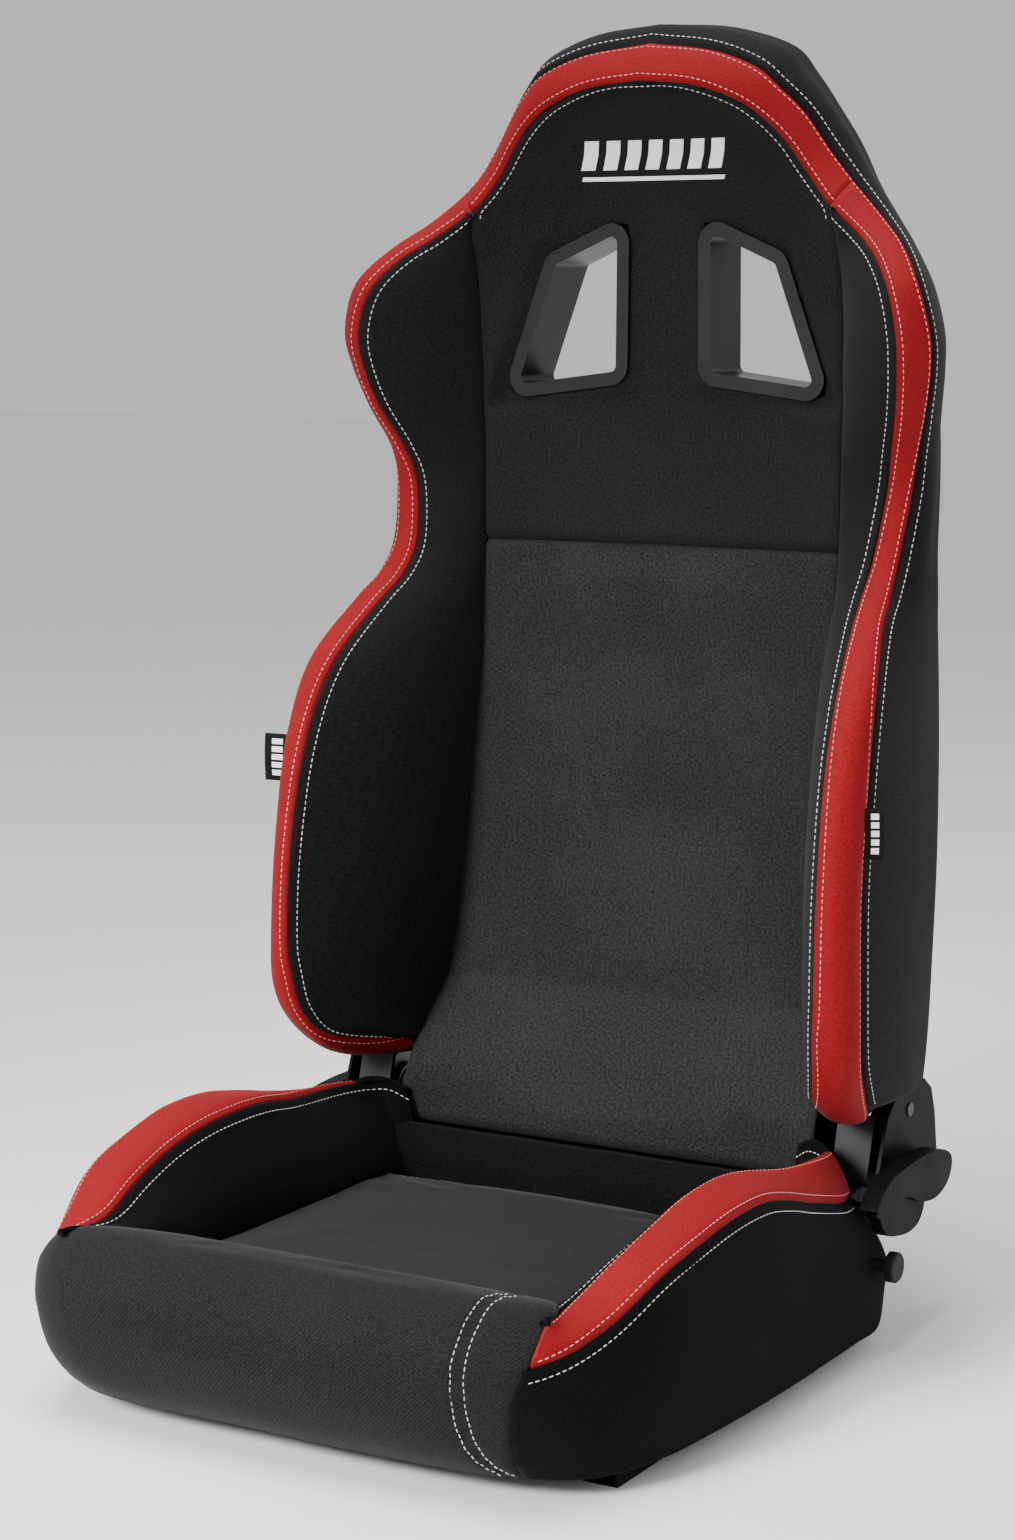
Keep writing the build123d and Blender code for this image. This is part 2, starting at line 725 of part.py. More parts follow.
# ---------------------------------------------------------------- release levers
def build_release():
    grip = [(97, 108), (110, 121), (138, 128), (170, 130), (201, 129), (220, 124), (232, 114), (228, 104),
            (218, 96), (203, 93), (186, 94), (175, 96), (157, 105), (144, 108), (126, 108), (104, 103)]
    lobe = [(104, 103), (116, 96), (119, 88), (130, 82), (146, 79), (166, 76), (184, 80), (192, 92),
            (186, 94), (175, 96), (157, 105), (144, 108), (126, 108)]
    with BuildPart() as lever:
        with BuildSketch(side(LEVER_INNER_X)):
            outline(grip)
        extrude(amount=LEVER_OUTER_X - LEVER_INNER_X)
        with BuildSketch(side(LEVER_INNER_X)):
            outline(lobe)
        extrude(amount=LEVER_OUTER_X - 5 - LEVER_INNER_X)
        inner_face = lever.faces().filter_by(Axis.X).sort_by(Axis.X)[0]
        offset(amount=-2.5, openings=inner_face)
        with BuildSketch(side(LEVER_INNER_X)):
            with Locations((RELEASE_Y, RELEASE_Z)):
                Circle(9)
        extrude(amount=LEVER_OUTER_X - 6 - LEVER_INNER_X)
        with BuildSketch(side(LEVER_INNER_X)):
            with Locations((RELEASE_Y, RELEASE_Z)):
                Circle(RELEASE_R)
        extrude(amount=10, mode=Mode.SUBTRACT)
    save_pair(lever.part, "release_lever")
    save(pin(-LEVER_INNER_X - 10, LEVER_INNER_X + 10, RELEASE_Y, RELEASE_Z, RELEASE_R), "release_shaft")
    with BuildPart() as washers:
        for x in (BASE_PLATE_X + PLATE + 0.5, LEVER_INNER_X - 3):
            with BuildSketch(side(x)):
                with Locations((RELEASE_Y, RELEASE_Z)):
                    Circle(9)
                    Circle(RELEASE_R, mode=Mode.SUBTRACT)
            extrude(amount=1.5)
        mirror(about=Plane.YZ)
    save(washers.part, "release_washers")


build_base()
build_backrest()
build_release()
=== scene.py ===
import math

import bmesh
import bpy
import numpy as np
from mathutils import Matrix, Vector


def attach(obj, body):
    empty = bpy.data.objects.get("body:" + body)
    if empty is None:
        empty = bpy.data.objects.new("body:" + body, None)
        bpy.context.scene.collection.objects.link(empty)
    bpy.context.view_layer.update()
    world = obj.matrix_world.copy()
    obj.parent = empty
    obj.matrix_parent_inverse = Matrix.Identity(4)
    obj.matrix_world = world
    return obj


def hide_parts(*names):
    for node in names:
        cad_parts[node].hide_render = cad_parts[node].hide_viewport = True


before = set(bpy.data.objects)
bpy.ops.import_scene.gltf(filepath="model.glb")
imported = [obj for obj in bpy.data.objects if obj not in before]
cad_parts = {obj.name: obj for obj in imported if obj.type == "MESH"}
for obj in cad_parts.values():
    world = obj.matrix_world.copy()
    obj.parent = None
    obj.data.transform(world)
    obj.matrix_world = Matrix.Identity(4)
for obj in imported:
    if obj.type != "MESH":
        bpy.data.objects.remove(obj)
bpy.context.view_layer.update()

MM = 0.001
BACK = "backrest"
BASE = "seat_base"
RELEASE = "release_levers"
SIDES = {"right": 1, "left": -1}

STITCH_PITCH = 4.6       # mm from one stitch to the next
STITCH_LENGTH = 3.0
STITCH_R = 0.37
SEAM_TO_STITCH = 8       # top stitching on the black panels
BAND_STITCH = 5.5        # top stitching inside each edge of the red band
STITCH_RISE = 0.12       # how far a stitch's middle stands off the cloth
TUCK = 3.2               # how deep a panel's edge is drawn into its seam
TUCK_WIDTH = 2.6         # how far from the seam that shows
COVER_THICKNESS = 4
THIN_CLOTH = 1.5         # the closing cloth under the backrest
REAR_CLOTH = 2           # the rear panel and the cloth behind the seat centre
CLOTH_FRAMES = 20
CLOTH_STIFFNESS = 12

REAR_HALF = 165          # half the rear panel's width, and the radius of its round top
REAR_ARCH_Z = 694        # where the round top starts
REAR_Y = 289             # plane of the rear panel's upper part
SEAT_CLOTH_HALF = 152    # half the cushion centre's width between the bolsters

# Guide points of the right half of the backrest, in mm, from the bolster's foot up to the head's top
BAND_INNER = [(176, 158, 176), (190, 118, 177), (205, 80, 187), (213, 62, 208), (216, 54, 236),
              (218, 51, 264), (217, 55, 330), (214, 71, 406), (209, 100, 463), (199, 146, 506),
              (193, 176, 528), (193, 198, 554), (199, 208, 600), (206, 198, 628), (217, 179, 660),
              (223, 166, 692), (223, 162, 716), (215, 166, 745), (198, 182, 768), (176, 200, 785),
              (150, 210, 804), (129, 214, 828), (114, 211, 849), (97, 206, 866), (76, 202, 879),
              (42, 198, 890), (0, 198, 894)]
BAND_OUTER = [(180, 174, 156), (203, 162, 155), (222, 141, 162), (235, 106, 187), (240, 86, 215),
              (239, 85, 262), (237, 88, 334), (237, 97, 406), (235, 112, 463), (222, 153, 509),
              (216, 181, 530), (214, 201, 556), (218, 212, 600), (222, 211, 628), (232, 199, 657),
              (241, 187, 690), (243, 179, 716), (233, 179, 751), (213, 199, 777), (188, 219, 798),
              (160, 231, 824), (141, 231, 847), (123, 226, 873), (106, 217, 891), (88, 212, 906),
              (50, 214, 920), (0, 218, 927)]
REAR_EDGE = [(234, 222, 172), (234, 225, 180), (234, 231, 215), (234, 236, 262), (233, 244, 334),
             (229, 253, 406), (225, 259, 463), (222, 264, 507), (221, 267, 528), (219, 270, 556),
             (217, 275, 600), (214, 279, 628), (210, 282, 658), (209, 285, 690), (208, 286, 716),
             (200, 286, 745), (184, 286, 772), (171, 286, 797), (161, 286, 822), (147, 285, 853),
             (131, 283, 879), (114, 279, 905), (96, 273, 927), (54, 262, 941), (0, 255, 944)]
SEAM = [(173, 164, 172), (171, 170, 177), (170, 176, 184), (168, 187, 198), (165, 201, 218), (161, 208, 256),
        (156, 216, 330), (153, 224, 406), (150, 228, 463), (150, 230, 505), (150, 231, 528), (150, 232, 555),
        (150, 232, 600), (150, 232, 628), (151, 231, 658), (151, 230, 690), (152, 229, 715), (152, 227, 738),
        (152, 224, 756), (152, 219, 773), (150, 212, 802)]
# The lumbar panel's foot, which hangs down between the back arms
TONGUE = [(173, 150, 112), (175, 147, 125), (175, 148, 140), (174, 155, 156), (173, 164, 172)]

# The cloth under the backrest: front and rear edges below each bolster, and the profile at the centre
FOOT_FRONT = [(168, 178, 163), (181, 175, 158), (203, 163, 157), (221, 142, 164), (229, 124, 175)]
FOOT_REAR = [(160, 226, 172), (168, 228, 172), (186, 228, 172), (208, 226, 172), (231, 222, 174)]
FOOT_CENTRE = [(174, 108), (179, 113), (182, 134), (192, 150), (214, 164), (229, 172)]

# Guide points of the right half of the cushion, from the rear to the front corner
# The bolster's rear end curls round for two points before the band starts.
CUSHION_INNER = [(166, 142, 136), (182, 133, 144), (198, 122, 143), (203, 88, 145), (200, 35, 149),
                 (193, -10, 157), (190, -46, 160), (190, -91, 158), (190, -134, 150), (187, -176, 138),
                 (182, -215, 124), (184, -243, 121), (186, -255, 122), (187, -261, 121)]
CUSHION_OUTER = [(222, 112, 112), (228, 84, 117), (231, 28, 132), (232, -4, 142), (233, -44, 151),
                 (233, -90, 152), (231, -134, 146), (228, -180, 137), (217, -220, 117), (205, -250, 104),
                 (195, -267, 98), (185, -278, 94)]
LEFT_RISE = [8, 12, 15, 14, 12, 11, 9, 5, 4, 2, 0, 0]      # how much higher the left band's outer edge lies
SIDE_START = (220, 147, 92)          # top of the side panel's rear edge
CUSHION_HEM = [(232, 152, 38), (236, 132, 14), (238, 90, 14), (238, 40, 14), (238, 0, 14), (237, -40, 14),
               (235, -85, 14), (232, -125, 14), (228, -165, 14), (221, -196, 14), (212, -220, 14),
               (196, -240, 14), (168, -254, 14)]
CUSHION_SEAM = [(157, 148, 70), (157, 144, 72), (157, 138, 76), (155, 92, 84), (152, 20, 86), (152, -10, 86),
                (152, -46, 86), (152, -91, 87), (152, -134, 88), (153, -165, 91), (158, -190, 99),
                (168, -215, 110), (178, -240, 117), (186, -262, 121)]
# The small cap behind each cushion bolster
CAP_FRONT = [(166, 142, 136), (182, 133, 144), (198, 122, 143), (214, 116, 128), (222, 112, 112),
             (221, 131, 103), (220, 147, 92), (232, 152, 38)]
CAP_REAR = [(166, 176, 108), (174, 168, 120), (185, 152, 123), (200, 136, 118), (208, 134, 104),
            (210, 142, 94), (211, 149, 82), (214, 155, 40)]
# The cloth behind the seat centre as a (y, z) profile, over the release shaft and down to the rear tube
REAR_TUCK = [(118, 64), (119, 76), (122, 92), (130, 106), (142, 109), (153, 105), (166, 102), (178, 104),
             (189, 101), (194, 92), (190, 76), (176, 61), (154, 50), (125, 44)]
# The front roll's (y, z) profile, and beside each of its points the ends' half widths and rearward pulls
ROLL_PROFILE = [(-168, 90), (-190, 99), (-212, 113), (-235, 123), (-256, 125), (-275, 114), (-289, 93),
                (-292, 70), (-288, 46), (-279, 27), (-266, 14)]
ROLL_HALF = [153, 159, 168, 180, 188, 190, 184, 176, 172, 169, 168]
ROLL_PULL = [0, 2, 4, 6, 8, 10, 7, 9, 11, 12, 12]
ROLL_HALF_LEFT = [153, 162, 180, 203, 216, 216, 209, 205, 201, 194, 190]
ROLL_PULL_LEFT = [0, 3, 8, 16, 23, 25, 25, 25, 25, 25, 25]
ROLL_DROOP = [0, 0, 8, 22, 22, 19, 12, 2, 0, 0, 0]     # how far the left end's top hangs down
# The curved seam near the roll's right end, as x and place along the profile
C_SEAM = [(158, 1.2), (150, 2.3), (143, 3.6), (140, 5.2), (140, 6.8), (144, 8.3), (152, 9.4), (160, 10)]

SLOT = [(29, 803), (100, 772), (140, 662), (30, 676)]      # harness slot outline in x and z
LEVER_INNER_X = 235
WING_OUTER_X = 249
LOBE_OUTER_X = 244.5
LEVER_WING = [(97, 108), (103, 115), (111, 121), (124, 126), (138, 128), (170, 130), (201, 129), (219, 125),
              (230, 119), (232, 111), (227, 102), (217, 96), (203, 93), (188, 94), (174, 97), (158, 104),
              (144, 107), (126, 107), (108, 103)]
LEVER_LOBE = [(106, 104), (113, 98), (119, 89), (130, 82), (147, 78), (166, 76), (182, 79), (191, 88),
              (190, 96), (175, 101), (155, 108), (130, 110)]
HEAD_SEAM_Z = 792          # where the head panel's top stitching starts
TAG_REACH = {"right": [(237.5, 90), (243, 94), (249, 97)], "left": [(237, 91), (248, 91.5), (260, 90)]}
TAG_LOW = {"right": 358, "left": 376}
TAG_HEIGHT = 36
TAG_BARS = 5
TAG_BAR_PITCH = 6
TAG_MARK_RISE = 0.62       # from the tag's middle surface to its white bars

EMBLEM_LEFT = -66
EMBLEM_RIGHT = 52
EMBLEM_Z = (834, 855)
UNDERLINE_Z = (826, 829)
EMBLEM_BARS = 7
EMBLEM_PITCH = 17.5
EMBLEM_BAR = 11            # width of one bar
EMBLEM_LEAN = 7
THREAD_RISE = 0.3          # how far the embroidery's middle stands off the cloth

AZIMUTH = 30.4             # degrees, the camera's direction
ELEVATION = 8.37
CAMERA_PLACE = (1.119, -1.8955, 0.738)
SENSOR = 36
LENS = SENSOR * 3194 / 1540
WORLD_LIGHT = 0.64
# name, place, height aimed at, size, power, spread in degrees
LIGHTS = [("key", (-0.7, -2.4, 1.5), 0.0, 0.9, 8.5, 40), ("fill", (-1.4, -2.8, 0.9), 0.4, 1.8, 11, 180),
          ("front_right", (1.7, -2.4, 0.8), 0.4, 1.5, 6, 180), ("side", (2.6, -0.3, 1.7), 0.75, 1.2, 3, 70),
          ("top", (-0.3, -0.1, 3.0), 0.45, 1.4, 82, 180)]


# ---- curves and patches
def smooth(points, steps):
    """A Catmull-Rom curve through the points, with the same number of steps between each pair."""
    p = np.array(points, float)
    ends = np.vstack([2 * p[0] - p[1], p, 2 * p[-1] - p[-2]])
    rows = []
    for i in range(len(p) - 1):
        a, b, c, d = ends[i:i + 4]
        for k in range(steps):
            t = k / steps
            rows.append(0.5 * (2 * b + (c - a) * t + (2 * a - 5 * b + 4 * c - d) * t * t
                               + (3 * b - a - 3 * c + d) * t ** 3))
    rows.append(p[-1])
    return np.array(rows)


def lengths(curve):
    """Distance along the curve to each of its points."""
    return np.concatenate([[0], np.cumsum(np.linalg.norm(np.diff(curve, axis=0), axis=1))])


def flip(points):
    """Points of the right side, on the left side."""
    return np.array(points, float) * [-1, 1, 1]


def unit(v):
    return v / np.maximum(np.linalg.norm(v, axis=-1, keepdims=True), 1e-9)


def row_normals(grid):
    """Normals of a grid of points, from its two directions."""
    return unit(np.cross(np.gradient(grid, axis=0), np.gradient(grid, axis=1)))


def normals_toward(grid, toward):
    """A grid's normals, on the side that mostly looks the given way."""
    normals = row_normals(grid)
    return normals * (np.sign(np.sum(normals * np.array(toward, float), axis=2).mean()) or 1)


def on_side(sign, grid, normals):
    """The panel itself for the right side, or its mirror image for the left side."""
    return (grid, normals) if sign > 0 else (flip(grid), flip(normals))


def columns(width, count):
    """Column places from 0 to 1 that crowd towards both seams."""
    edge = np.array([0, 1.6, 4.2, 9]) / max(width, 30)
    middle = np.linspace(edge[-1], 1 - edge[-1], count)[1:-1]
    return np.concatenate([edge, middle, (1 - edge)[::-1]])


def tuck_depth(distance):
    """How far a point is drawn in, from its distance to a seam in mm."""
    return TUCK * np.exp(-(distance / TUCK_WIDTH) ** 2)


def inward(curve, core):
    """Directions in which both panels of a seam are drawn in, towards the foam's core."""
    return unit(core - curve)


def patch(left, right, crown=0, count=10, toward=(0, -1, 0), shape=None, sinks=None):
    """A grid of points between two edge curves, with a crown and its edges drawn into the seams."""
    width = float(np.mean(np.linalg.norm(right - left, axis=1)))
    t = columns(width, count)
    grid = left[:, None, :] * (1 - t)[None, :, None] + right[:, None, :] * t[None, :, None]
    normals = normals_toward(grid, toward)
    lift = (np.zeros(len(left)) + crown)[:, None] * (4 * t * (1 - t))[None, :] ** 0.8
    if shape is not None:
        lift = lift + shape(np.linspace(0, 1, len(left))[:, None], t[None, :])
    grid = grid + normals * lift[:, :, None]
    if sinks is not None:
        for direction, distance in zip(sinks, (t * width, (1 - t) * width)):
            grid = grid + direction[:, None, :] * tuck_depth(distance)[None, :, None]
    return grid, normals


def swept(points, steps, half, count):
    """A grid that carries a (y, z) profile straight across the seat."""
    profile = smooth([(0, y, z) for y, z in points], steps)
    grid = np.repeat(profile[:, None, :], count, axis=1)
    grid[..., 0] = np.linspace(-half, half, count)
    return grid


def new_object(name, verts, faces, material=None, rounded=True):
    """An object from points in mm."""
    mesh = bpy.data.meshes.new(name)
    mesh.from_pydata((np.array(verts) * MM).tolist(), [], faces)
    for poly in mesh.polygons:
        poly.use_smooth = rounded
    if material:
        mesh.materials.append(material)
    obj = bpy.data.objects.new(name, mesh)
    bpy.context.scene.collection.objects.link(obj)
    return obj


def thicken(obj, thickness, offset):
    solid = obj.modifiers.new("thickness", "SOLIDIFY")
    solid.thickness = thickness * MM
    solid.offset = offset


def grid_mesh(name, grid, normals, thickness=COVER_THICKNESS, offset=-1, skip=None):
    """A cloth panel: the grid as its face, a parallel inner face and a closed edge."""
    rows, cols = grid.shape[:2]
    flat = grid.reshape(-1, 3)
    faces = []
    for i in range(rows - 1):
        for j in range(cols - 1):
            quad = (i * cols + j, i * cols + j + 1, (i + 1) * cols + j + 1, (i + 1) * cols + j)
            if skip is None or not skip(flat[list(quad)].mean(axis=0)):
                faces.append(quad)
    middle = faces[len(faces) // 2]
    a, b, c = (flat[k] for k in middle[:3])
    if np.dot(np.cross(b - a, c - b), normals.reshape(-1, 3)[middle[0]]) < 0:
        faces = [face[::-1] for face in faces]
    obj = new_object(name, flat, faces)
    u = lengths(grid[:, cols // 2])
    v = lengths(grid[rows // 2])
    layer = obj.data.uv_layers.new(name="cloth")
    for loop in obj.data.loops:
        i, j = divmod(loop.vertex_index, cols)
        layer.data[loop.index].uv = (u[i] * MM, v[j] * MM)
    obj.data.update()
    if skip:
        remove_loose(obj.data)
    thicken(obj, thickness, offset)
    return obj


def remove_loose(mesh):
    """Removes vertices that no face uses."""
    bm = bmesh.new()
    bm.from_mesh(mesh)
    bmesh.ops.delete(bm, geom=[v for v in bm.verts if not v.link_faces], context="VERTS")
    bm.to_mesh(mesh)
    bm.free()


# ---- materials
def grey(level):
    return (level, level, level)


class Shader:
    """A Principled material and the nodes that drive it."""

    def __init__(self, name, color, roughness, metallic=0.0):
        self.material = bpy.data.materials.new(name)
        self.material.use_nodes = True
        self.material.diffuse_color = (*color, 1)
        self.tree = self.material.node_tree
        self.surface({"Base Color": (*color, 1), "Roughness": roughness, "Metallic": metallic})

    def fill(self, node, values):
        """Sets a node's inputs to plain values, or links them to other nodes' outputs."""
        for key, value in values.items():
            if isinstance(value, bpy.types.NodeSocket):
                self.tree.links.new(value, node.inputs[key])
            else:
                node.inputs[key].default_value = value

    def surface(self, values):
        self.fill(self.tree.nodes["Principled BSDF"], values)

    def add(self, kind, values, output=0, **settings):
        node = self.tree.nodes.new(kind)
        for key, value in settings.items():
            setattr(node, key, value)
        self.fill(node, values)
        return node.outputs[output]

    def mixed(self, factor, low, high):
        """A colour between low and high."""
        return self.add("ShaderNodeMix", {0: factor, 6: (*low, 1), 7: (*high, 1)}, 2, data_type="RGBA")

    def noise(self, coords, scale, detail):
        return self.add("ShaderNodeTexNoise", {"Vector": coords, "Scale": scale, "Detail": detail}, "Fac")

    def wave(self, coords, scale, direction, distortion):
        values = {"Vector": coords, "Scale": scale, "Distortion": distortion, "Detail": 1.0}
        return self.add("ShaderNodeTexWave", values, "Fac", bands_direction=direction)

    def math(self, operation, a, b):
        return self.add("ShaderNodeMath", {0: a, 1: b}, operation=operation)

    def add_detail(self, broad, rough_range, height, relief, depth_mm):
        """Roughness that varies with the broad noise, and a bump from a height."""
        rough = self.add("ShaderNodeMapRange",
                         {"Value": broad, "To Min": rough_range[0], "To Max": rough_range[1]}, "Result")
        bump = self.add("ShaderNodeBump", {"Height": height, "Strength": relief, "Distance": depth_mm * MM},
                        "Normal")
        self.surface({"Roughness": rough, "Normal": bump})


def fabric(name, dark, light, weave_mm, relief, sheen, twill=False, blotch=0.25, roughness=0.85,
           thread_share=0.4, specular=0.12):
    """Woven or knitted cloth: two crossed thread directions, speckle, faint wear and a soft sheen."""
    shader = Shader(name, dark, roughness)
    coords = shader.add("ShaderNodeTexCoord", {}, "UV")
    scale = 2 * math.pi / (weave_mm * MM) / 20
    if twill:
        threads = shader.wave(coords, scale, "DIAGONAL", 0.6)
    else:
        threads = shader.math("MULTIPLY", shader.wave(coords, scale, "X", 0.8),
                              shader.wave(coords, scale, "Y", 0.8))
    speckle = shader.noise(coords, 520, 2)
    broad = shader.noise(coords, 9, 3)
    threads = shader.math("MULTIPLY", threads, thread_share)
    grain = shader.math("MULTIPLY", shader.math("ADD", threads, 1.1 - thread_share), speckle)
    stains = shader.math("MULTIPLY", shader.math("SUBTRACT", broad, 0.5), blotch)
    shade = shader.add("ShaderNodeMapRange", {"Value": shader.math("ADD", grain, stains),
                                              "From Min": 0.28, "From Max": 0.68}, "Result")
    shader.surface({"Base Color": shader.mixed(shade, dark, light), "Sheen Weight": sheen,
                    "Sheen Roughness": 0.45, "Specular IOR Level": specular})
    shader.add_detail(broad, (roughness - 0.1, min(roughness + 0.1, 1)), grain, relief, 0.4)
    return shader.material


def moulded(name, color, roughness, relief, grain_scale=900, metallic=0.0, brushed=False, specular=0.5):
    """Moulded plastic, paint or plated steel with grain, smudges and slight wear."""
    shader = Shader(name, color, roughness, metallic)
    coords = shader.add("ShaderNodeTexCoord", {}, "Object")
    broad = shader.noise(coords, 30, 4)
    brighter = tuple(min(c * 1.6 + 0.002, 1) for c in color)
    height = shader.wave(coords, 400, "Y", 4.0) if brushed else shader.noise(coords, grain_scale, 2)
    shader.surface({"Base Color": shader.mixed(broad, color, brighter), "Specular IOR Level": specular})
    shader.add_detail(broad, (max(roughness - 0.12, 0.05), min(roughness + 0.14, 1)), height, relief, 0.15)
    return shader.material


KNIT = fabric("charcoal_knit", (0.007, 0.007, 0.0073), grey(0.030), weave_mm=1.3, relief=0.5, sheen=0.04,
              thread_share=0.25)
# The seat centre's knit: the charcoal knit made darker to offset the top lamp on its upward face, painted
# shade
SHADED_SEAT_KNIT = fabric("shaded_seat_knit", (0.004, 0.004, 0.0042), grey(0.0155), weave_mm=1.3, relief=0.5, sheen=0.04,
                   thread_share=0.25)
# The shoulder and head panel's knit: the charcoal knit made darker, painted shade for the dimmer upper back
SHADED_KNIT = fabric("shaded_knit", (0.004, 0.004, 0.0042), grey(0.017), weave_mm=1.3, relief=0.4, sheen=0.03,
                   thread_share=0.25)
SMOOTH = fabric("black_fabric", grey(0.003), grey(0.012), weave_mm=0.8, relief=0.25, sheen=0.04,
                thread_share=0.3)
# The cushion's side panels, bolster walls, bolster ends and the cloth behind the seat centre: the black
# fabric made darker, painted shade
SHADED_BLACK = fabric("shaded_black_fabric", grey(0.0015), grey(0.007), weave_mm=0.8, relief=0.25, sheen=0.02,
              thread_share=0.3, specular=0.05)
TWILL = fabric("black_twill", grey(0.0035), grey(0.0155), weave_mm=1.6, relief=0.5, sheen=0.06, twill=True,
               thread_share=0.5)
RED = fabric("red_fabric", (0.175, 0.003, 0.005), (0.265, 0.007, 0.010), weave_mm=0.7, relief=0.2,
             sheen=0.02, blotch=0.15, roughness=0.75, thread_share=0.3)
REAR = fabric("rear_fabric", grey(0.003), grey(0.011), weave_mm=1.0, relief=0.3, sheen=0.03, specular=0.06)
LABEL = fabric("label_weave", grey(0.004), grey(0.012), weave_mm=0.6, relief=0.3, sheen=0.04)
WHITE_THREAD = moulded("white_thread", (0.50, 0.50, 0.49), 0.7, relief=0.3)
PINK_THREAD = moulded("pink_thread", (0.62, 0.20, 0.20), 0.7, relief=0.3)
EMBROIDERY = moulded("embroidery", (0.80, 0.80, 0.79), 0.7, relief=0.5, grain_scale=1500)
BEZEL = moulded("bezel_plastic", (0.006, 0.006, 0.0065), 0.3, relief=0.2, specular=0.22)
LEVER = moulded("lever_plastic", grey(0.004), 0.42, relief=0.1, specular=0.04)
PAINT = moulded("black_paint", (0.004, 0.004, 0.0043), 0.4, relief=0.08, specular=0.04)
ZINC = moulded("zinc_steel", (0.09, 0.09, 0.093), 0.58, relief=0.1, metallic=1.0, brushed=True)
DARK_ZINC = moulded("dark_zinc", (0.022, 0.022, 0.023), 0.55, relief=0.1, metallic=1.0, brushed=True)


# ---- stitching
def capsule_template():
    """One stitch along +X: six-sided, pointed at both ends."""
    points = []
    for x, r in ((-0.5, 0.25), (-0.32, 1.0), (0.32, 1.0), (0.5, 0.25)):
        for k in range(6):
            a = math.pi / 3 * k
            points.append((x * STITCH_LENGTH, r * STITCH_R * math.cos(a), r * STITCH_R * math.sin(a)))
    faces = [(i * 6 + k, i * 6 + (k + 1) % 6, (i + 1) * 6 + (k + 1) % 6, (i + 1) * 6 + k)
             for i in range(3) for k in range(6)]
    faces += [tuple(range(5, -1, -1)), tuple(range(18, 24))]
    return np.array(points), faces


def sample(curve, s, at):
    """The value of a row of points at a distance along it."""
    return np.array([np.interp(at, s, curve[:, k]) for k in range(3)])


def stitches(name, lines, material, body):
    """Rows of stitches along curves; each line is (points, normals) in mm."""
    template, template_faces = capsule_template()
    verts = []
    faces = []
    for points, normals in lines:
        s = lengths(points)
        for n in range(int(s[-1] / STITCH_PITCH)):
            at = (n + 0.5) * STITCH_PITCH
            x_axis = unit(sample(points, s, at + 0.8) - sample(points, s, at - 0.8))
            y_axis = unit(np.cross(sample(normals, s, at), x_axis))
            z_axis = np.cross(x_axis, y_axis)
            base = len(verts)
            verts.extend(template @ np.array([x_axis, y_axis, z_axis]) + sample(points, s, at)
                         + z_axis * STITCH_RISE)
            faces.extend(tuple(base + k for k in face) for face in template_faces)
    obj = new_object(name, verts, faces, material)
    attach(obj, body)


def line_in_patch(grid, normals, from_edge, last=False):
    """The line across a patch that keeps a distance in mm from its first or last edge."""
    if last:
        grid, normals = grid[:, ::-1], normals[:, ::-1]
    line = np.array([sample(row, lengths(row), from_edge) for row in grid])
    return line, np.array([sample(norm, lengths(row), from_edge) for row, norm in zip(grid, normals)])


def sew_band(name, grid, normals, body):
    """Top stitching along both edges of a red band."""
    lines = [line_in_patch(grid, normals, BAND_STITCH, last) for last in (False, True)]
    stitches(name, lines, PINK_THREAD, body)


# ---- cloth finishing
def open_edge(mesh):
    """Vertices on the edges that only one face uses."""
    counts = {}
    for poly in mesh.polygons:
        for key in poly.edge_keys:
            counts[key] = counts.get(key, 0) + 1
    return sorted({vertex for key, used in counts.items() if used == 1 for vertex in key})


def puff(obj, pressure, cap):
    """Lets a panel swell between its seams: a cloth simulation with its border pinned, then applied."""
    mesh = obj.data
    obj.vertex_groups.new(name="seam").add(open_edge(mesh), 1.0, "REPLACE")
    before = np.array([v.co[:] for v in mesh.vertices])
    obj.modifiers.remove(obj.modifiers["thickness"])
    cloth = obj.modifiers.new("cloth", "CLOTH")
    cloth.settings.vertex_group_mass = "seam"
    cloth.settings.use_pressure = True
    cloth.settings.uniform_pressure_force = pressure
    cloth.settings.tension_stiffness = CLOTH_STIFFNESS
    cloth.settings.compression_stiffness = CLOTH_STIFFNESS
    cloth.settings.bending_stiffness = 0.8
    cloth.settings.effector_weights.gravity = 0
    cloth.point_cache.frame_start = 1
    cloth.point_cache.frame_end = CLOTH_FRAMES
    scene = bpy.context.scene
    for frame_number in range(1, CLOTH_FRAMES + 1):
        scene.frame_set(frame_number)
    swollen = obj.evaluated_get(bpy.context.evaluated_depsgraph_get())
    move = np.array([v.co[:] for v in swollen.to_mesh().vertices]) - before
    swollen.to_mesh_clear()
    obj.modifiers.remove(cloth)
    size = np.linalg.norm(move, axis=1, keepdims=True)
    move *= np.minimum(1, cap * MM / np.maximum(size, 1e-9))
    for vertex, place in zip(mesh.vertices, before + move):
        vertex.co = place
    thicken(obj, COVER_THICKNESS, -1)
    scene.frame_set(1)


def upholster(obj, material, body, nodes=()):
    """Gives a cloth panel its material, body and place in the frame."""
    obj.data.materials.append(material)
    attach(obj, body)
    if nodes:
        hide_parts(*nodes)


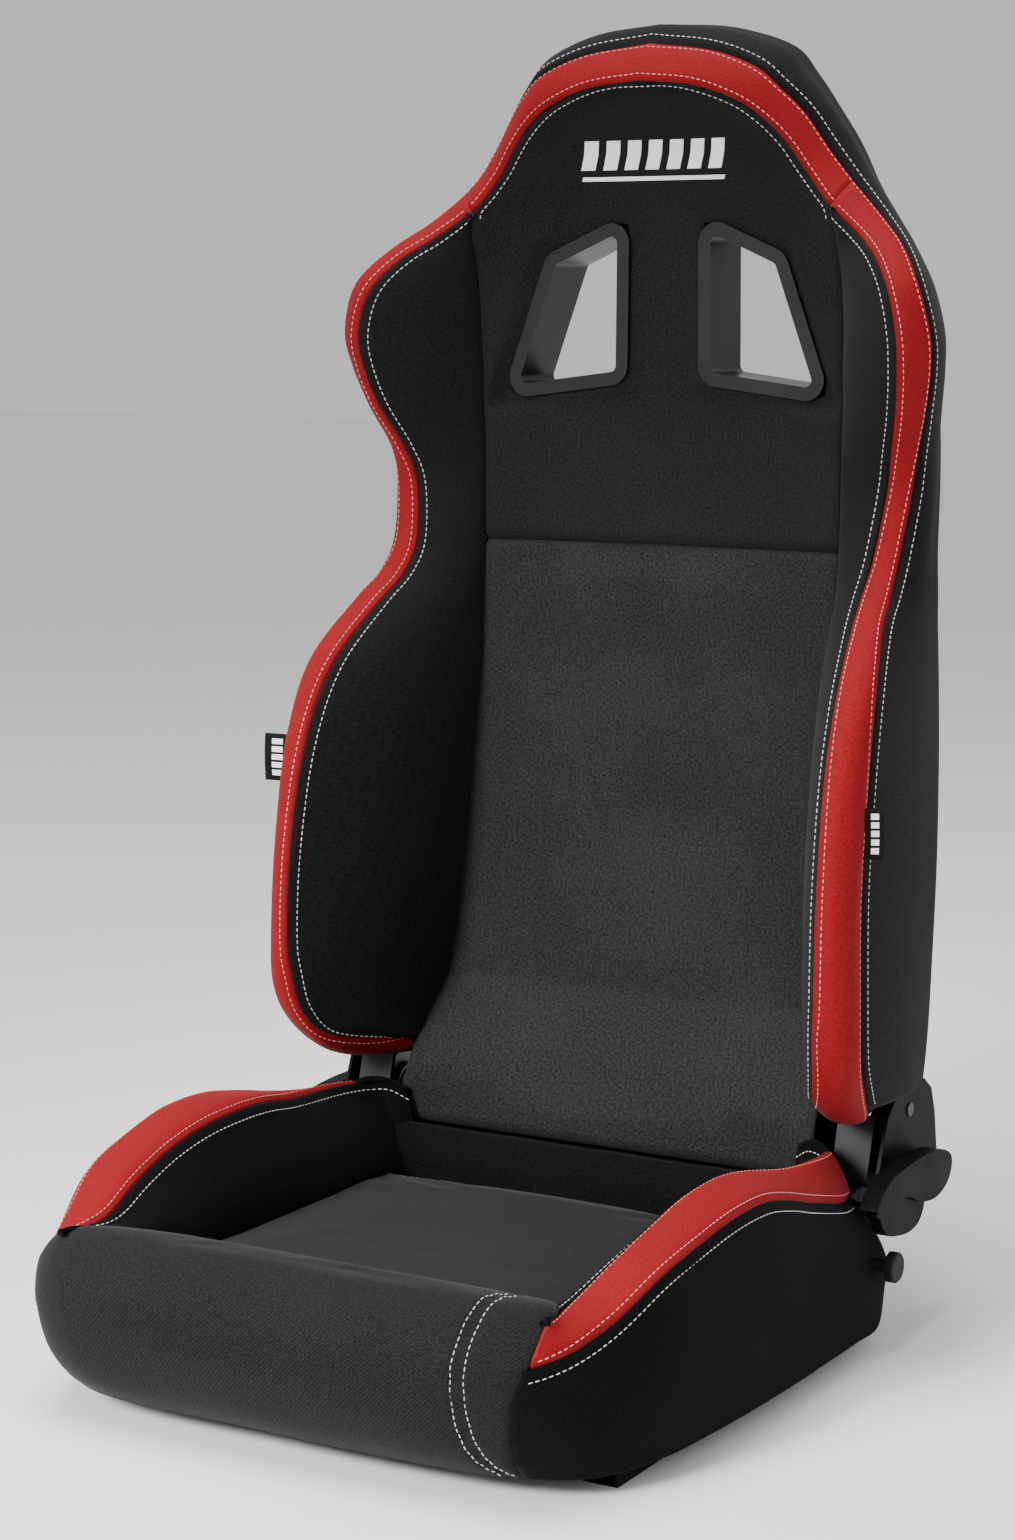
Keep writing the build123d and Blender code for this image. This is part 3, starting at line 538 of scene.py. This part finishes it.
# ---- backrest
STEPS = 6                    # rows from one guide point to the next
NECK = 20 * STEPS            # row where the side band is sewn to the head band
SHOULDER_START = 11 * STEPS  # row where the lumbar panel meets the shoulder panel
LUMBAR_DISH = ([112, 172, 215, 330, 463, 554], [151, 170, 205, 224, 238, 243])     # z and y along the middle
SHOULDER_DISH = ([554, 600, 662, 790, 845, 880, 899], [243, 246, 248, 246, 236, 217, 199])
BEZEL_Y = 244.6              # the cloth's plane around the harness slots
BAND_CROWN = ([0, 2, 4, 7, 9, 20], [4, 9, 11, 10, 3, 2.5])     # guide point and the side band's crown in mm


def wrinkle(scale, depth, seed=0.0):
    """A shape function with long shallow ripples across a panel."""
    def shape(s, t):
        ripple = np.sin(s * scale + 3 * t + seed) * np.sin(s * scale * 0.37 + 5 * t + seed * 2)
        return depth * ripple * (4 * t * (1 - t))
    return shape


def back_core(rear):
    """The middle of the foam beside each point of the rear edge."""
    core = rear * [0.8, 1, 1] - [0, 40, 0]
    core[:, 2] += np.minimum(0, REAR_ARCH_Z - core[:, 2]) * 0.14
    return core


def build_back_band(name, inner, outer, core, crown, count, sign=1):
    grid, normals = on_side(sign, *patch(inner, outer, crown=crown, count=count,
                                         sinks=(inward(inner, core), inward(outer, core))))
    obj = grid_mesh(f"back_band_cloth_{name}", grid, normals)
    upholster(obj, RED, BACK, [f"back_band_{name}"])
    sew_band(f"back_band_stitches_{name}", grid, normals, BACK)


def build_back_bands(inner, outer, core):
    sides = [curve[:NECK + 1] for curve in (inner, outer, core)]
    crown = np.interp(np.arange(NECK + 1) / STEPS, *BAND_CROWN)
    for side, sign in SIDES.items():
        build_back_band(side, *sides, crown, 12, sign)
    over_head = [np.vstack([curve[NECK:], flip(curve[NECK:-1][::-1])]) for curve in (inner, outer, core)]
    build_back_band("head", *over_head, 2.5, 8)


def bolster_crown(s, t):
    """The backrest bolster is fullest low down and thins out at the waist."""
    low = np.exp(-((s - 0.28) / 0.22) ** 2)
    high = np.exp(-((s - 0.80) / 0.12) ** 2)
    return (11 * low + 5 * high + 2) * np.abs(np.sin(np.pi * t)) ** 0.9


def build_back_bolsters(seam, inner, core):
    rows = NECK + 1
    backwards = np.zeros((rows, 3)) + [0, 1, 0]
    for side, sign in SIDES.items():
        grid, normals = on_side(sign, *patch(seam[:rows], inner[:rows], count=16, shape=bolster_crown,
                                             sinks=(backwards, inward(inner[:rows], core[:rows]))))
        obj = grid_mesh(f"back_bolster_cloth_{side}", grid, normals)
        puff(obj, pressure=1.2, cap=2.5)
        upholster(obj, SMOOTH, BACK, [f"back_bolster_{side}"])
        start = STEPS // 2
        line = line_in_patch(grid[start:], normals[start:], SEAM_TO_STITCH, True)
        stitches(f"back_bolster_stitches_{side}", [line], WHITE_THREAD, BACK)


def rear_rim(edge):
    """Where the side cover meets the rear panel, for one point of the rear edge."""
    if edge[2] < REAR_ARCH_Z:
        return np.array([REAR_HALF, min(edge[1] + 5, REAR_Y), edge[2]])
    angle = math.atan2(edge[2] - REAR_ARCH_Z, edge[0])
    return np.array([REAR_HALF * math.cos(angle), REAR_Y, REAR_ARCH_Z + REAR_HALF * math.sin(angle)])


def side_cover_row(front, corner, sink):
    """Points from the band's outer seam, round the rear edge and in to the rear panel."""
    rim = rear_rim(corner)
    wall = np.linalg.norm(corner - front)
    radius = min(20, wall * 0.35, np.linalg.norm(rim - corner) * 0.45)
    bend_start = corner - radius * unit(corner - front)
    bend_end = corner + radius * unit(rim - corner)
    outward = unit(np.array([corner[0] + 0.01, 0, max(corner[2] - REAR_ARCH_Z, 0)]))
    row = [front + (bend_start - front) * t + outward * 5 * math.sin(math.pi * t)
           + sink * tuck_depth(t * wall)
           for t in (0, 0.012, 0.035, 0.08, 0.18, 0.32, 0.5, 0.68, 0.84)]
    row += [(1 - t) ** 2 * bend_start + 2 * t * (1 - t) * corner + t * t * bend_end
            for t in np.linspace(0, 1, 6)]
    row += [bend_end + (rim - bend_end) * t - [0, tuck_depth((1 - t) * 40) / 2, 0]
            for t in (0.25, 0.5, 0.75, 0.92, 0.97, 1.0)]
    return row


def build_side_cover(outer, rear, core):
    """The wrap behind the band, in one piece over the head; it starts above the band's rounded foot."""
    start = 5 * STEPS // 2
    front = outer[start:]
    half = np.array([side_cover_row(*points) for points in
                     zip(front, rear[start - 2 * STEPS:], inward(front, core[start:]))])
    grid = np.vstack([half, flip(half)[:-1][::-1]])
    normals = normals_toward(grid, unit(grid - [0, 150, 450]))
    obj = grid_mesh("back_side_cover_cloth", grid, normals)
    upholster(obj, SMOOTH, BACK, ["back_side_cover"])
    line = line_in_patch(grid[1:-1], normals[1:-1], SEAM_TO_STITCH)
    stitches("back_side_cover_stitches", [line], WHITE_THREAD, BACK)


def slot_distance(x, z):
    """Signed distance in mm from a harness slot's outline, positive outside."""
    x = abs(x)
    best = math.inf
    inside = True
    for (x1, z1), (x2, z2) in zip(SLOT, SLOT[1:] + SLOT[:1]):
        ex, ez = x2 - x1, z2 - z1
        t = max(0, min(1, ((x - x1) * ex + (z - z1) * ez) / (ex * ex + ez * ez)))
        best = min(best, math.hypot(x - x1 - t * ex, z - z1 - t * ez))
        if ex * (z - z1) - ez * (x - x1) > 0:
            inside = False
    return -best if inside else best


def in_slot(margin):
    def skip(p):
        return slot_distance(p[0], p[2]) < -margin
    return skip


def crowded(curve, count, at_start=False, at_end=False):
    """The same curve with evenly spaced points and extra ones close to the ends that are sewn."""
    s = lengths(curve)
    extra = np.array([1.6, 4.2])
    even = np.linspace(9 if at_start else 0, s[-1] - (9 if at_end else 0), count)
    places = np.concatenate([[0], extra, even] if at_start else [even])
    places = np.concatenate([places, s[-1] - extra[::-1], [s[-1]]]) if at_end else places
    return np.array([sample(curve, s, place) for place in places])


def dished_panel(edge, centre_depth, count, power):
    """Rows from the left edge to the right edge that sink towards the middle."""
    t = columns(300, count)
    rows = []
    for a, b in zip(flip(edge), edge):
        row = a[None, :] * (1 - t)[:, None] + b[None, :] * t[:, None]
        middle = np.interp(a[2], *centre_depth)
        row[:, 1] = row[:, 1] + (middle - row[:, 1]) * (1 - np.abs(2 * t - 1) ** power)
        row[:, 1] += tuck_depth(np.minimum(t, 1 - t) * abs(b[0] - a[0]))
        rows.append(row)
    return np.array(rows)


def build_lumbar_panel(seam):
    edge = crowded(np.vstack([smooth(TONGUE, STEPS)[:-1], seam[:SHOULDER_START + 1]]), 92, at_end=True)
    grid = dished_panel(edge, LUMBAR_DISH, 44, 2.6)
    grid[..., 1] += tuck_depth(edge[-1, 2] - edge[:, 2])[:, None]
    lip = grid[0] + [0, 10, -6]
    under = grid[0] + [0, 26, -5]
    grid = np.concatenate([under[None], lip[None], grid])
    obj = grid_mesh("back_lumbar_cloth", grid, normals_toward(grid, (0, -1, 0)))
    puff(obj, pressure=1.0, cap=3)
    upholster(obj, KNIT, BACK, ["back_lumbar_pad"])


def build_shoulder_panel(seam, inner):
    """The shoulder and head panel, which dips to the bezels around both harness slots."""
    edge = np.vstack([seam[SHOULDER_START:19 * STEPS + 1], [(154, 213, 785)], inner[NECK:]])
    edge = crowded(edge, 104, at_start=True)
    grid = dished_panel(edge, SHOULDER_DISH, 60, 3.0)
    normals = normals_toward(grid, (0, -1, 0))
    grid[..., 1] += tuck_depth(edge[:, 2] - edge[0, 2])[:, None]
    for p in grid.reshape(-1, 3):
        near = 1 - min(max((slot_distance(p[0], p[2]) - 1) / 9, 0), 1)
        near = near * near * (3 - 2 * near)
        p[1] += (BEZEL_Y - p[1]) * near
    obj = grid_mesh("back_shoulder_cloth", grid, normals, skip=in_slot(4.5))
    upholster(obj, SHADED_KNIT, BACK, ["back_shoulder_pad", "back_head_roll"])
    head = int(np.argmax(edge[:, 2] > HEAD_SEAM_Z))
    stitches("back_head_stitches", [edge_line(grid, normals, head)], WHITE_THREAD, BACK)
    return grid


def build_back_foot():
    """The black cloth under the backrest: below each bolster and behind the centre's foot."""
    for side, sign in SIDES.items():
        grid, normals = on_side(sign, *patch(smooth(FOOT_FRONT, 5), smooth(FOOT_REAR, 5), count=14,
                                             toward=(0, 0, -1)))
        obj = grid_mesh(f"back_foot_cloth_{side}", grid, normals, thickness=THIN_CLOTH)
        upholster(obj, REAR, BACK)
    grid = swept(FOOT_CENTRE, 5, 190, 44)
    obj = grid_mesh("back_foot_cloth_centre", grid, normals_toward(grid, (0, 1, 0)), thickness=THIN_CLOTH)
    upholster(obj, REAR, BACK)


def edge_line(grid, normals, first):
    """A stitch line that follows a dished panel's edge over the head from side to side."""
    right, right_n = line_in_patch(grid[first:-6], normals[first:-6], SEAM_TO_STITCH, True)
    left, left_n = line_in_patch(grid[first:-6], normals[first:-6], SEAM_TO_STITCH)
    return np.vstack([right, left[::-1]]), np.vstack([right_n, left_n[::-1]])


def build_rear_panel():
    zs = np.concatenate([np.linspace(173, REAR_ARCH_Z, 110),
                         REAR_ARCH_Z + REAR_HALF * np.sin(np.linspace(0.04, 1.5, 34))])
    t = columns(330, 50)
    rows = []
    for z in zs:
        half = math.sqrt(REAR_HALF ** 2 - max(z - REAR_ARCH_Z, 0) ** 2)
        edge_y = np.interp(z, [172, 215, 334, 463, 600, 658], [228, 237, 250, 265, 281, 287])
        row = np.zeros((len(t), 3))
        row[:, 0] = half * (2 * t - 1)
        row[:, 2] = z
        row[:, 1] = edge_y + 1.5 * (4 * t * (1 - t)) - tuck_depth(np.minimum(t, 1 - t) * 2 * half) * 0.5
        rows.append(row)
    grid = np.array(rows)
    obj = grid_mesh("back_rear_cloth", grid, normals_toward(grid, (0, 1, 0)), thickness=REAR_CLOTH,
                    skip=in_slot(6))
    upholster(obj, REAR, BACK, ["back_rear_panel"])


# ---- cushion
def side_bulge(s, t):
    """The cushion's side panel is fullest below its middle and flat at its top seam."""
    return 6 * np.sin(np.pi * t ** 1.4) + wrinkle(26, 0.8, 1.3)(s, t)


def wall_bulge(s, t):
    """The bolster's inner wall is fullest low down and straight towards its top seam."""
    return 11 * np.sin(np.pi * t) * (1 - t) * np.sin(np.pi * np.clip(s, 0.02, 0.98)) ** 0.5


def close_corner(grid):
    """Brings the side panel's front edge onto the front roll's end."""
    index = np.interp(grid[-1, :, 2], [14, 27, 46, 70, 93], [10, 9, 8, 7, 6])
    span = range(len(ROLL_HALF))
    target = grid[-1].copy()
    target[:, 0] = np.interp(index, span, ROLL_HALF)
    target[:, 1] = np.interp(index, span, [y for y, _ in ROLL_PROFILE]) + np.interp(index, span, ROLL_PULL)
    shift = target - grid[-1]
    for back in range(14):
        grid[-1 - back] += shift * (1 - back / 14) ** 1.5
    return grid


def cushion_core(curve):
    core = curve.copy()
    core[:, 0] = 180
    core[:, 1] = np.maximum(curve[:, 1], -215)
    core[:, 2] = 70
    return core


def build_cushion():
    inner = smooth(CUSHION_INNER, STEPS)
    seam = smooth(CUSHION_SEAM, STEPS)
    band_inner = inner[2 * STEPS:]
    outer = smooth(CUSHION_OUTER, STEPS)
    hem = smooth(CUSHION_HEM, STEPS)
    inner_sink = inward(inner, cushion_core(inner))
    downwards = np.zeros(seam.shape) + [0.2, 0, -1]
    for side, sign in SIDES.items():
        edge = outer.copy()
        if sign < 0:
            edge[:, 2] += np.interp(np.arange(len(edge)) / STEPS, range(len(LEFT_RISE)), LEFT_RISE)
        side_edge = np.vstack([smooth([SIDE_START, tuple(edge[0])], STEPS)[:-1], edge])
        edge_sink = inward(edge, cushion_core(edge))
        rows = len(edge) if sign > 0 else 9 * STEPS + 1      # the left band ends under the front roll
        grid, normals = on_side(sign, *patch(band_inner[:rows], edge[:rows], crown=3, count=8,
                                             toward=(0.2, 0, 1),
                                             sinks=(inner_sink[2 * STEPS:][:rows], edge_sink[:rows])))
        obj = grid_mesh(f"cushion_band_cloth_{side}", grid, normals)
        upholster(obj, RED, BASE, [f"cushion_band_{side}"])
        sew_band(f"cushion_band_stitches_{side}", grid, normals, BASE)

        # The bolster walls, side panels and bolster ends below take the darker black fabric, painted shade
        grid, normals = on_side(sign, *patch(seam, inner, count=14, toward=(-1, 0, 1), shape=wall_bulge,
                                             sinks=(downwards, inner_sink)))
        obj = grid_mesh(f"cushion_bolster_cloth_{side}", grid, normals)
        puff(obj, pressure=1.0, cap=2)
        upholster(obj, SHADED_BLACK, BASE, [f"cushion_bolster_{side}"])
        line = line_in_patch(grid[:-10], normals[:-10], SEAM_TO_STITCH, True)
        stitches(f"cushion_bolster_stitches_{side}", [line], WHITE_THREAD, BASE)

        grid, normals = patch(side_edge, hem, count=20, toward=(1, -0.5, 0), shape=side_bulge,
                              sinks=(inward(side_edge, cushion_core(side_edge)),))
        if sign > 0:
            grid = close_corner(grid)
        grid, normals = on_side(sign, grid, normals)
        obj = grid_mesh(f"cushion_side_cloth_{side}", grid, normals)
        puff(obj, pressure=1.0, cap=2)
        upholster(obj, SHADED_BLACK, BASE)
        stitched = slice(STEPS, len(grid) if sign > 0 else 10 * STEPS)
        line = line_in_patch(grid[stitched], normals[stitched], SEAM_TO_STITCH)
        stitches(f"cushion_side_stitches_{side}", [line], WHITE_THREAD, BASE)

        grid, normals = on_side(sign, *patch(smooth(CAP_FRONT, STEPS), smooth(CAP_REAR, STEPS), crown=2,
                                             count=8, toward=(0, 1, 0.5)))
        obj = grid_mesh(f"cushion_bolster_end_{side}", grid, normals)
        upholster(obj, SHADED_BLACK, BASE)


def build_seat_centre():
    rows = []
    t = columns(2 * SEAT_CLOTH_HALF, 40)
    for y in np.linspace(126, -176, 86):
        half = np.interp(-y, [-150, -90, -20, 165], [158, 155, 152, 153])
        z_edge = np.interp(-y, [-126, -118, -108, -90, -60, 100, 150, 176], [62, 70, 77, 83, 86, 87, 89, 92])
        row = np.zeros((len(t), 3))
        row[:, 0] = half * (2 * t - 1)
        row[:, 1] = y
        to_seam = np.minimum(t, 1 - t) * 2 * SEAT_CLOTH_HALF
        row[:, 2] = z_edge + 3.0 * (1 - (2 * t - 1) ** 2) - tuck_depth(to_seam)
        rows.append(row)
    grid = np.array(rows)
    obj = grid_mesh("cushion_centre_cloth", grid, normals_toward(grid, (0, 0, 1)))
    puff(obj, pressure=1.5, cap=3.5)
    upholster(obj, SHADED_SEAT_KNIT, BASE, ["cushion_centre_pad"])


def build_rear_tuck():
    """The black cloth behind the seat's centre, which runs over the release shaft and down the back."""
    grid = swept(REAR_TUCK, 5, 198, 52)
    normals = normals_toward(grid, (0, 0, 1))
    ripple = 0.5 * np.sin(grid[..., 0] * 0.11) * np.sin(grid[..., 0] * 0.037 + 1)
    grid = grid + normals * (ripple[..., None] - 0.5)
    obj = grid_mesh("cushion_rear_cloth", grid, normals, thickness=REAR_CLOTH)
    # The darker black fabric here paints the shade in the gap behind the seat
    upholster(obj, SHADED_BLACK, BASE)


def roll_surface():
    """The front roll as a grid: profile steps by places across, in mm."""
    y_z = smooth([(0, y, z) for y, z in ROLL_PROFILE], 7)[:, 1:]
    index = np.linspace(0, len(ROLL_PROFILE) - 1, len(y_z))
    right, left, pull_right, pull_left, droop = (
        np.interp(index, range(len(values)), values)
        for values in (ROLL_HALF, ROLL_HALF_LEFT, ROLL_PULL, ROLL_PULL_LEFT, ROLL_DROOP))
    u = 2 * columns(360, 70) - 1
    grid = np.zeros((len(y_z), len(u), 3))
    for k, (y, z) in enumerate(y_z):
        x = (right[k] - left[k]) / 2 + u * (right[k] + left[k]) / 2
        grid[k, :, 0] = x
        grid[k, :, 1] = y + np.where(x > 0, pull_right[k] * (np.abs(x) / right[k]) ** 4,
                                     pull_left[k] * (np.abs(x) / left[k]) ** 9)
        grid[k, :, 2] = z - np.where(x < 0, droop[k] * (np.abs(x) / left[k]) ** 10, 0)
    return grid, u, index


def build_front_roll():
    grid, u, index = roll_surface()
    normals = normals_toward(grid, (0, -1, 0))
    c_curve = smooth([(x, k, 0) for x, k in C_SEAM], 10)
    seam_x = np.interp(index, c_curve[:, 1], c_curve[:, 0])
    inside = (index >= c_curve[0, 1]) & (index <= c_curve[-1, 1])
    distance = np.abs(grid[..., 0] - seam_x[:, None])
    groove = 3.2 * np.exp(-(distance / 1.9) ** 2) * inside[:, None]
    border = TUCK * np.exp(-((1 - np.abs(u)) * 180 / 3.0) ** 2)
    ripple = 0.5 * np.sin(grid[..., 0] * 0.045) * np.sin(index[:, None] * 1.3)
    grid = grid + normals * (ripple - groove - border[None, :])[..., None]
    obj = grid_mesh("cushion_front_cloth", grid, normals)
    puff(obj, pressure=1.5, cap=2)
    upholster(obj, TWILL, BASE, ["cushion_front_roll"])
    lines = []
    for shift in (-4.5, 5.0):
        rows = [(grid[k], normals[k], seam_x[k] + shift) for k in np.where(inside)[0]]
        lines.append((np.array([sample(row, row[:, 0], x) for row, _, x in rows]),
                      np.array([sample(norm, row[:, 0], x) for row, norm, x in rows])))
    stitches("cushion_front_stitches", lines, WHITE_THREAD, BASE)


# ---- carried-over parts
def soften(obj, width, segments, from_degrees):
    """Rounds the edges that are sharper than an angle."""
    bevel = obj.modifiers.new("soft_edges", "BEVEL")
    bevel.width = width * MM
    bevel.segments = segments
    bevel.limit_method = "ANGLE"
    bevel.angle_limit = math.radians(from_degrees)


def paint_frame():
    """Finishes for the CAD nodes that stay in sight; the first matching start of a name counts."""
    finishes = {"harness_bezel": (BEZEL, 1.6), "release_shaft": (PAINT, 0), "recliner_cover": (PAINT, 0.5),
                "back_arm": (DARK_ZINC, 0.6), "side_stud": (DARK_ZINC, 0.6), "mounting_rail": (PAINT, 0.6),
                "base_plate_bolts": (ZINC, 0.4), "base_plate": (PAINT, 0.6), "base_": (PAINT, 0),
                "back_frame": (PAINT, 0), "back_lower": (PAINT, 0), "back_upper": (PAINT, 0),
                "back_spring_clips": (PAINT, 0)}
    for name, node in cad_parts.items():
        if node.hide_render:
            continue
        material, bevel = next((f for start, f in finishes.items() if name.startswith(start)), (ZINC, 0))
        node.data.materials.clear()
        node.data.materials.append(material)
        if bevel:
            soften(node, bevel, 3, 35)


def closed_outline(points, steps):
    """A smooth closed outline through the points."""
    p = np.array(points, float)
    curve = smooth(np.vstack([p[-2:], p, p[:2]]), steps)
    return curve[2 * steps:-2 * steps - 1][:len(p) * steps]


def build_lever(side, sign):
    """The moulded release lever: a thick wing and a thinner lobe below it, with rounded edges."""
    verts, faces = [], []
    for points, outer_x in ((LEVER_WING, WING_OUTER_X), (LEVER_LOBE, LOBE_OUTER_X)):
        ring = closed_outline(points, 5)
        base, count = len(verts), len(ring)
        for x in (LEVER_INNER_X, outer_x):
            verts.extend((sign * x, y, z) for y, z in ring)
        low = tuple(range(base, base + count))
        high = tuple(range(base + count, base + 2 * count))
        faces.extend([low[::-1], high])
        faces.extend((low[k], low[(k + 1) % count], high[(k + 1) % count], high[k]) for k in range(count))
    obj = new_object(f"release_lever_shell_{side}", verts, faces, LEVER)
    bm = bmesh.new()
    bm.from_mesh(obj.data)
    bmesh.ops.recalc_face_normals(bm, faces=bm.faces)
    bm.to_mesh(obj.data)
    bm.free()
    soften(obj, 1.6, 4, 50)
    obj.modifiers.new("flat_faces", "WEIGHTED_NORMAL").keep_sharp = True
    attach(obj, RELEASE)
    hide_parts(f"release_lever_{side}")


def bar_on_surface(points, x_range, z_range, lean, across, rows):
    """A flat bar of quads that lies on the cloth given by its points."""
    def cloth_y(x, z):
        distance = np.hypot(points[:, 0] - x, points[:, 2] - z)
        near = np.argsort(distance)[:4]
        weight = 1 / (distance[near] + 0.01)
        return np.sum(points[near, 1] * weight) / np.sum(weight)

    verts, faces = [], []
    for i in range(rows + 1):
        z = z_range[0] + (z_range[1] - z_range[0]) * i / rows
        for j in range(across + 1):
            x = x_range[0] + (x_range[1] - x_range[0]) * j / across + lean * i / rows
            verts.append((x, cloth_y(x, z) - THREAD_RISE, z))
    for i in range(rows):
        for j in range(across):
            first = i * (across + 1) + j
            faces.append((first, first + 1, first + across + 2, first + across + 1))
    return verts, faces


def build_emblem(panel):
    """Generic embroidery on the head: a row of plain slanted bars over a thin underline."""
    points = panel.reshape(-1, 3)
    starts = [EMBLEM_LEFT + EMBLEM_PITCH * n for n in range(EMBLEM_BARS)]
    bars = [bar_on_surface(points, (start, start + EMBLEM_BAR), EMBLEM_Z, EMBLEM_LEAN, 3, 8)
            for start in starts]
    bars.append(bar_on_surface(points, (EMBLEM_LEFT, EMBLEM_RIGHT), UNDERLINE_Z, 1, 24, 2))
    verts, faces = [], []
    for bar_verts, bar_faces in bars:
        faces.extend(tuple(len(verts) + k for k in face) for face in bar_faces)
        verts.extend(bar_verts)
    obj = new_object("head_embroidery", verts, faces, EMBROIDERY, rounded=False)
    thicken(obj, 1.2, 0)
    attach(obj, BACK)


def build_tag(side, sign):
    """A woven side tag sewn into the band's outer seam, with generic white bars on both faces."""
    reach = smooth([(x, y, 0) for x, y in TAG_REACH[side]], 6)
    low = TAG_LOW[side]
    heights = np.linspace(low, low + TAG_HEIGHT, 14)
    grid = reach[None, :, :] + heights[:, None, None] * np.array([0, 0, 1])
    grid[:, :, 1] += 0.5 * np.sin(grid[:, :, 2] * 0.14)
    grid, normals = on_side(sign, grid, row_normals(grid))
    obj = grid_mesh(f"side_tag_cloth_{side}", grid, normals, thickness=0.9, offset=0)
    obj.data.materials.append(LABEL)
    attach(obj, BACK)
    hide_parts(f"side_tag_{side}")
    verts, faces = [], []
    for rise in (-TAG_MARK_RISE, TAG_MARK_RISE):
        for n in range(TAG_BARS):
            faces.append(tuple(range(len(verts), len(verts) + 4)))
            for place, z in ((0.32, 4), (0.72, 4), (0.72, 8.2), (0.32, 8.2)):
                z += TAG_BAR_PITCH * n
                row = round(z / TAG_HEIGHT * (len(grid) - 1))
                column = round(place * (grid.shape[1] - 1))
                point = grid[row, column] + normals[row, column] * rise
                verts.append((point[0], point[1], low + z))
    marks = new_object(f"side_tag_marks_{side}", verts, faces, EMBROIDERY, rounded=False)
    thicken(marks, 0.2, 0)
    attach(marks, BACK)


# ---- stage
def aimed(name, data, place, forward):
    obj = bpy.data.objects.new(name, data)
    obj.location = place
    obj.rotation_euler = forward.to_track_quat("-Z", "Y").to_euler()
    bpy.context.scene.collection.objects.link(obj)
    return obj


def build_stage():
    bpy.ops.mesh.primitive_plane_add(size=30, location=(0, 0, 0))
    floor = bpy.context.object
    floor.name = "floor"
    floor.data.materials.append(Shader("floor_white", grey(0.93), 0.7).material)
    world = bpy.data.worlds.new("studio")
    bpy.context.scene.world = world
    world.use_nodes = True
    world.node_tree.nodes["Background"].inputs["Color"].default_value = (1, 1, 1, 1)
    world.node_tree.nodes["Background"].inputs["Strength"].default_value = WORLD_LIGHT
    for name, place, aim, size, power, spread in LIGHTS:
        light = bpy.data.lights.new(name, "AREA")
        light.size = size
        light.energy = power
        light.spread = math.radians(spread)
        aimed(name, light, place, Vector((0, 0, aim)) - Vector(place))


def build_camera():
    azimuth, elevation = math.radians(AZIMUTH), math.radians(ELEVATION)
    forward = Vector((-math.sin(azimuth) * math.cos(elevation), math.cos(azimuth) * math.cos(elevation),
                      -math.sin(elevation)))
    data = bpy.data.cameras.new("camera")
    data.lens = LENS
    data.sensor_width = SENSOR
    bpy.context.scene.camera = aimed("camera", data, CAMERA_PLACE, forward)


def main():
    build_camera()
    build_stage()
    inner = smooth(BAND_INNER, STEPS)
    outer = smooth(BAND_OUTER, STEPS)
    rear = smooth(REAR_EDGE, STEPS)
    seam = smooth(SEAM, STEPS)
    core = np.vstack([np.repeat(back_core(rear[:1]), 2 * STEPS, axis=0), back_core(rear)])
    build_back_bands(inner, outer, core)
    build_back_bolsters(seam, inner, core)
    build_side_cover(outer, rear, core)
    build_lumbar_panel(seam)
    head_panel = build_shoulder_panel(seam, inner)
    build_rear_panel()
    build_back_foot()
    build_cushion()
    build_seat_centre()
    build_rear_tuck()
    build_front_roll()
    build_emblem(head_panel)
    for side, sign in SIDES.items():
        build_tag(side, sign)
        build_lever(side, sign)
    paint_frame()


main()
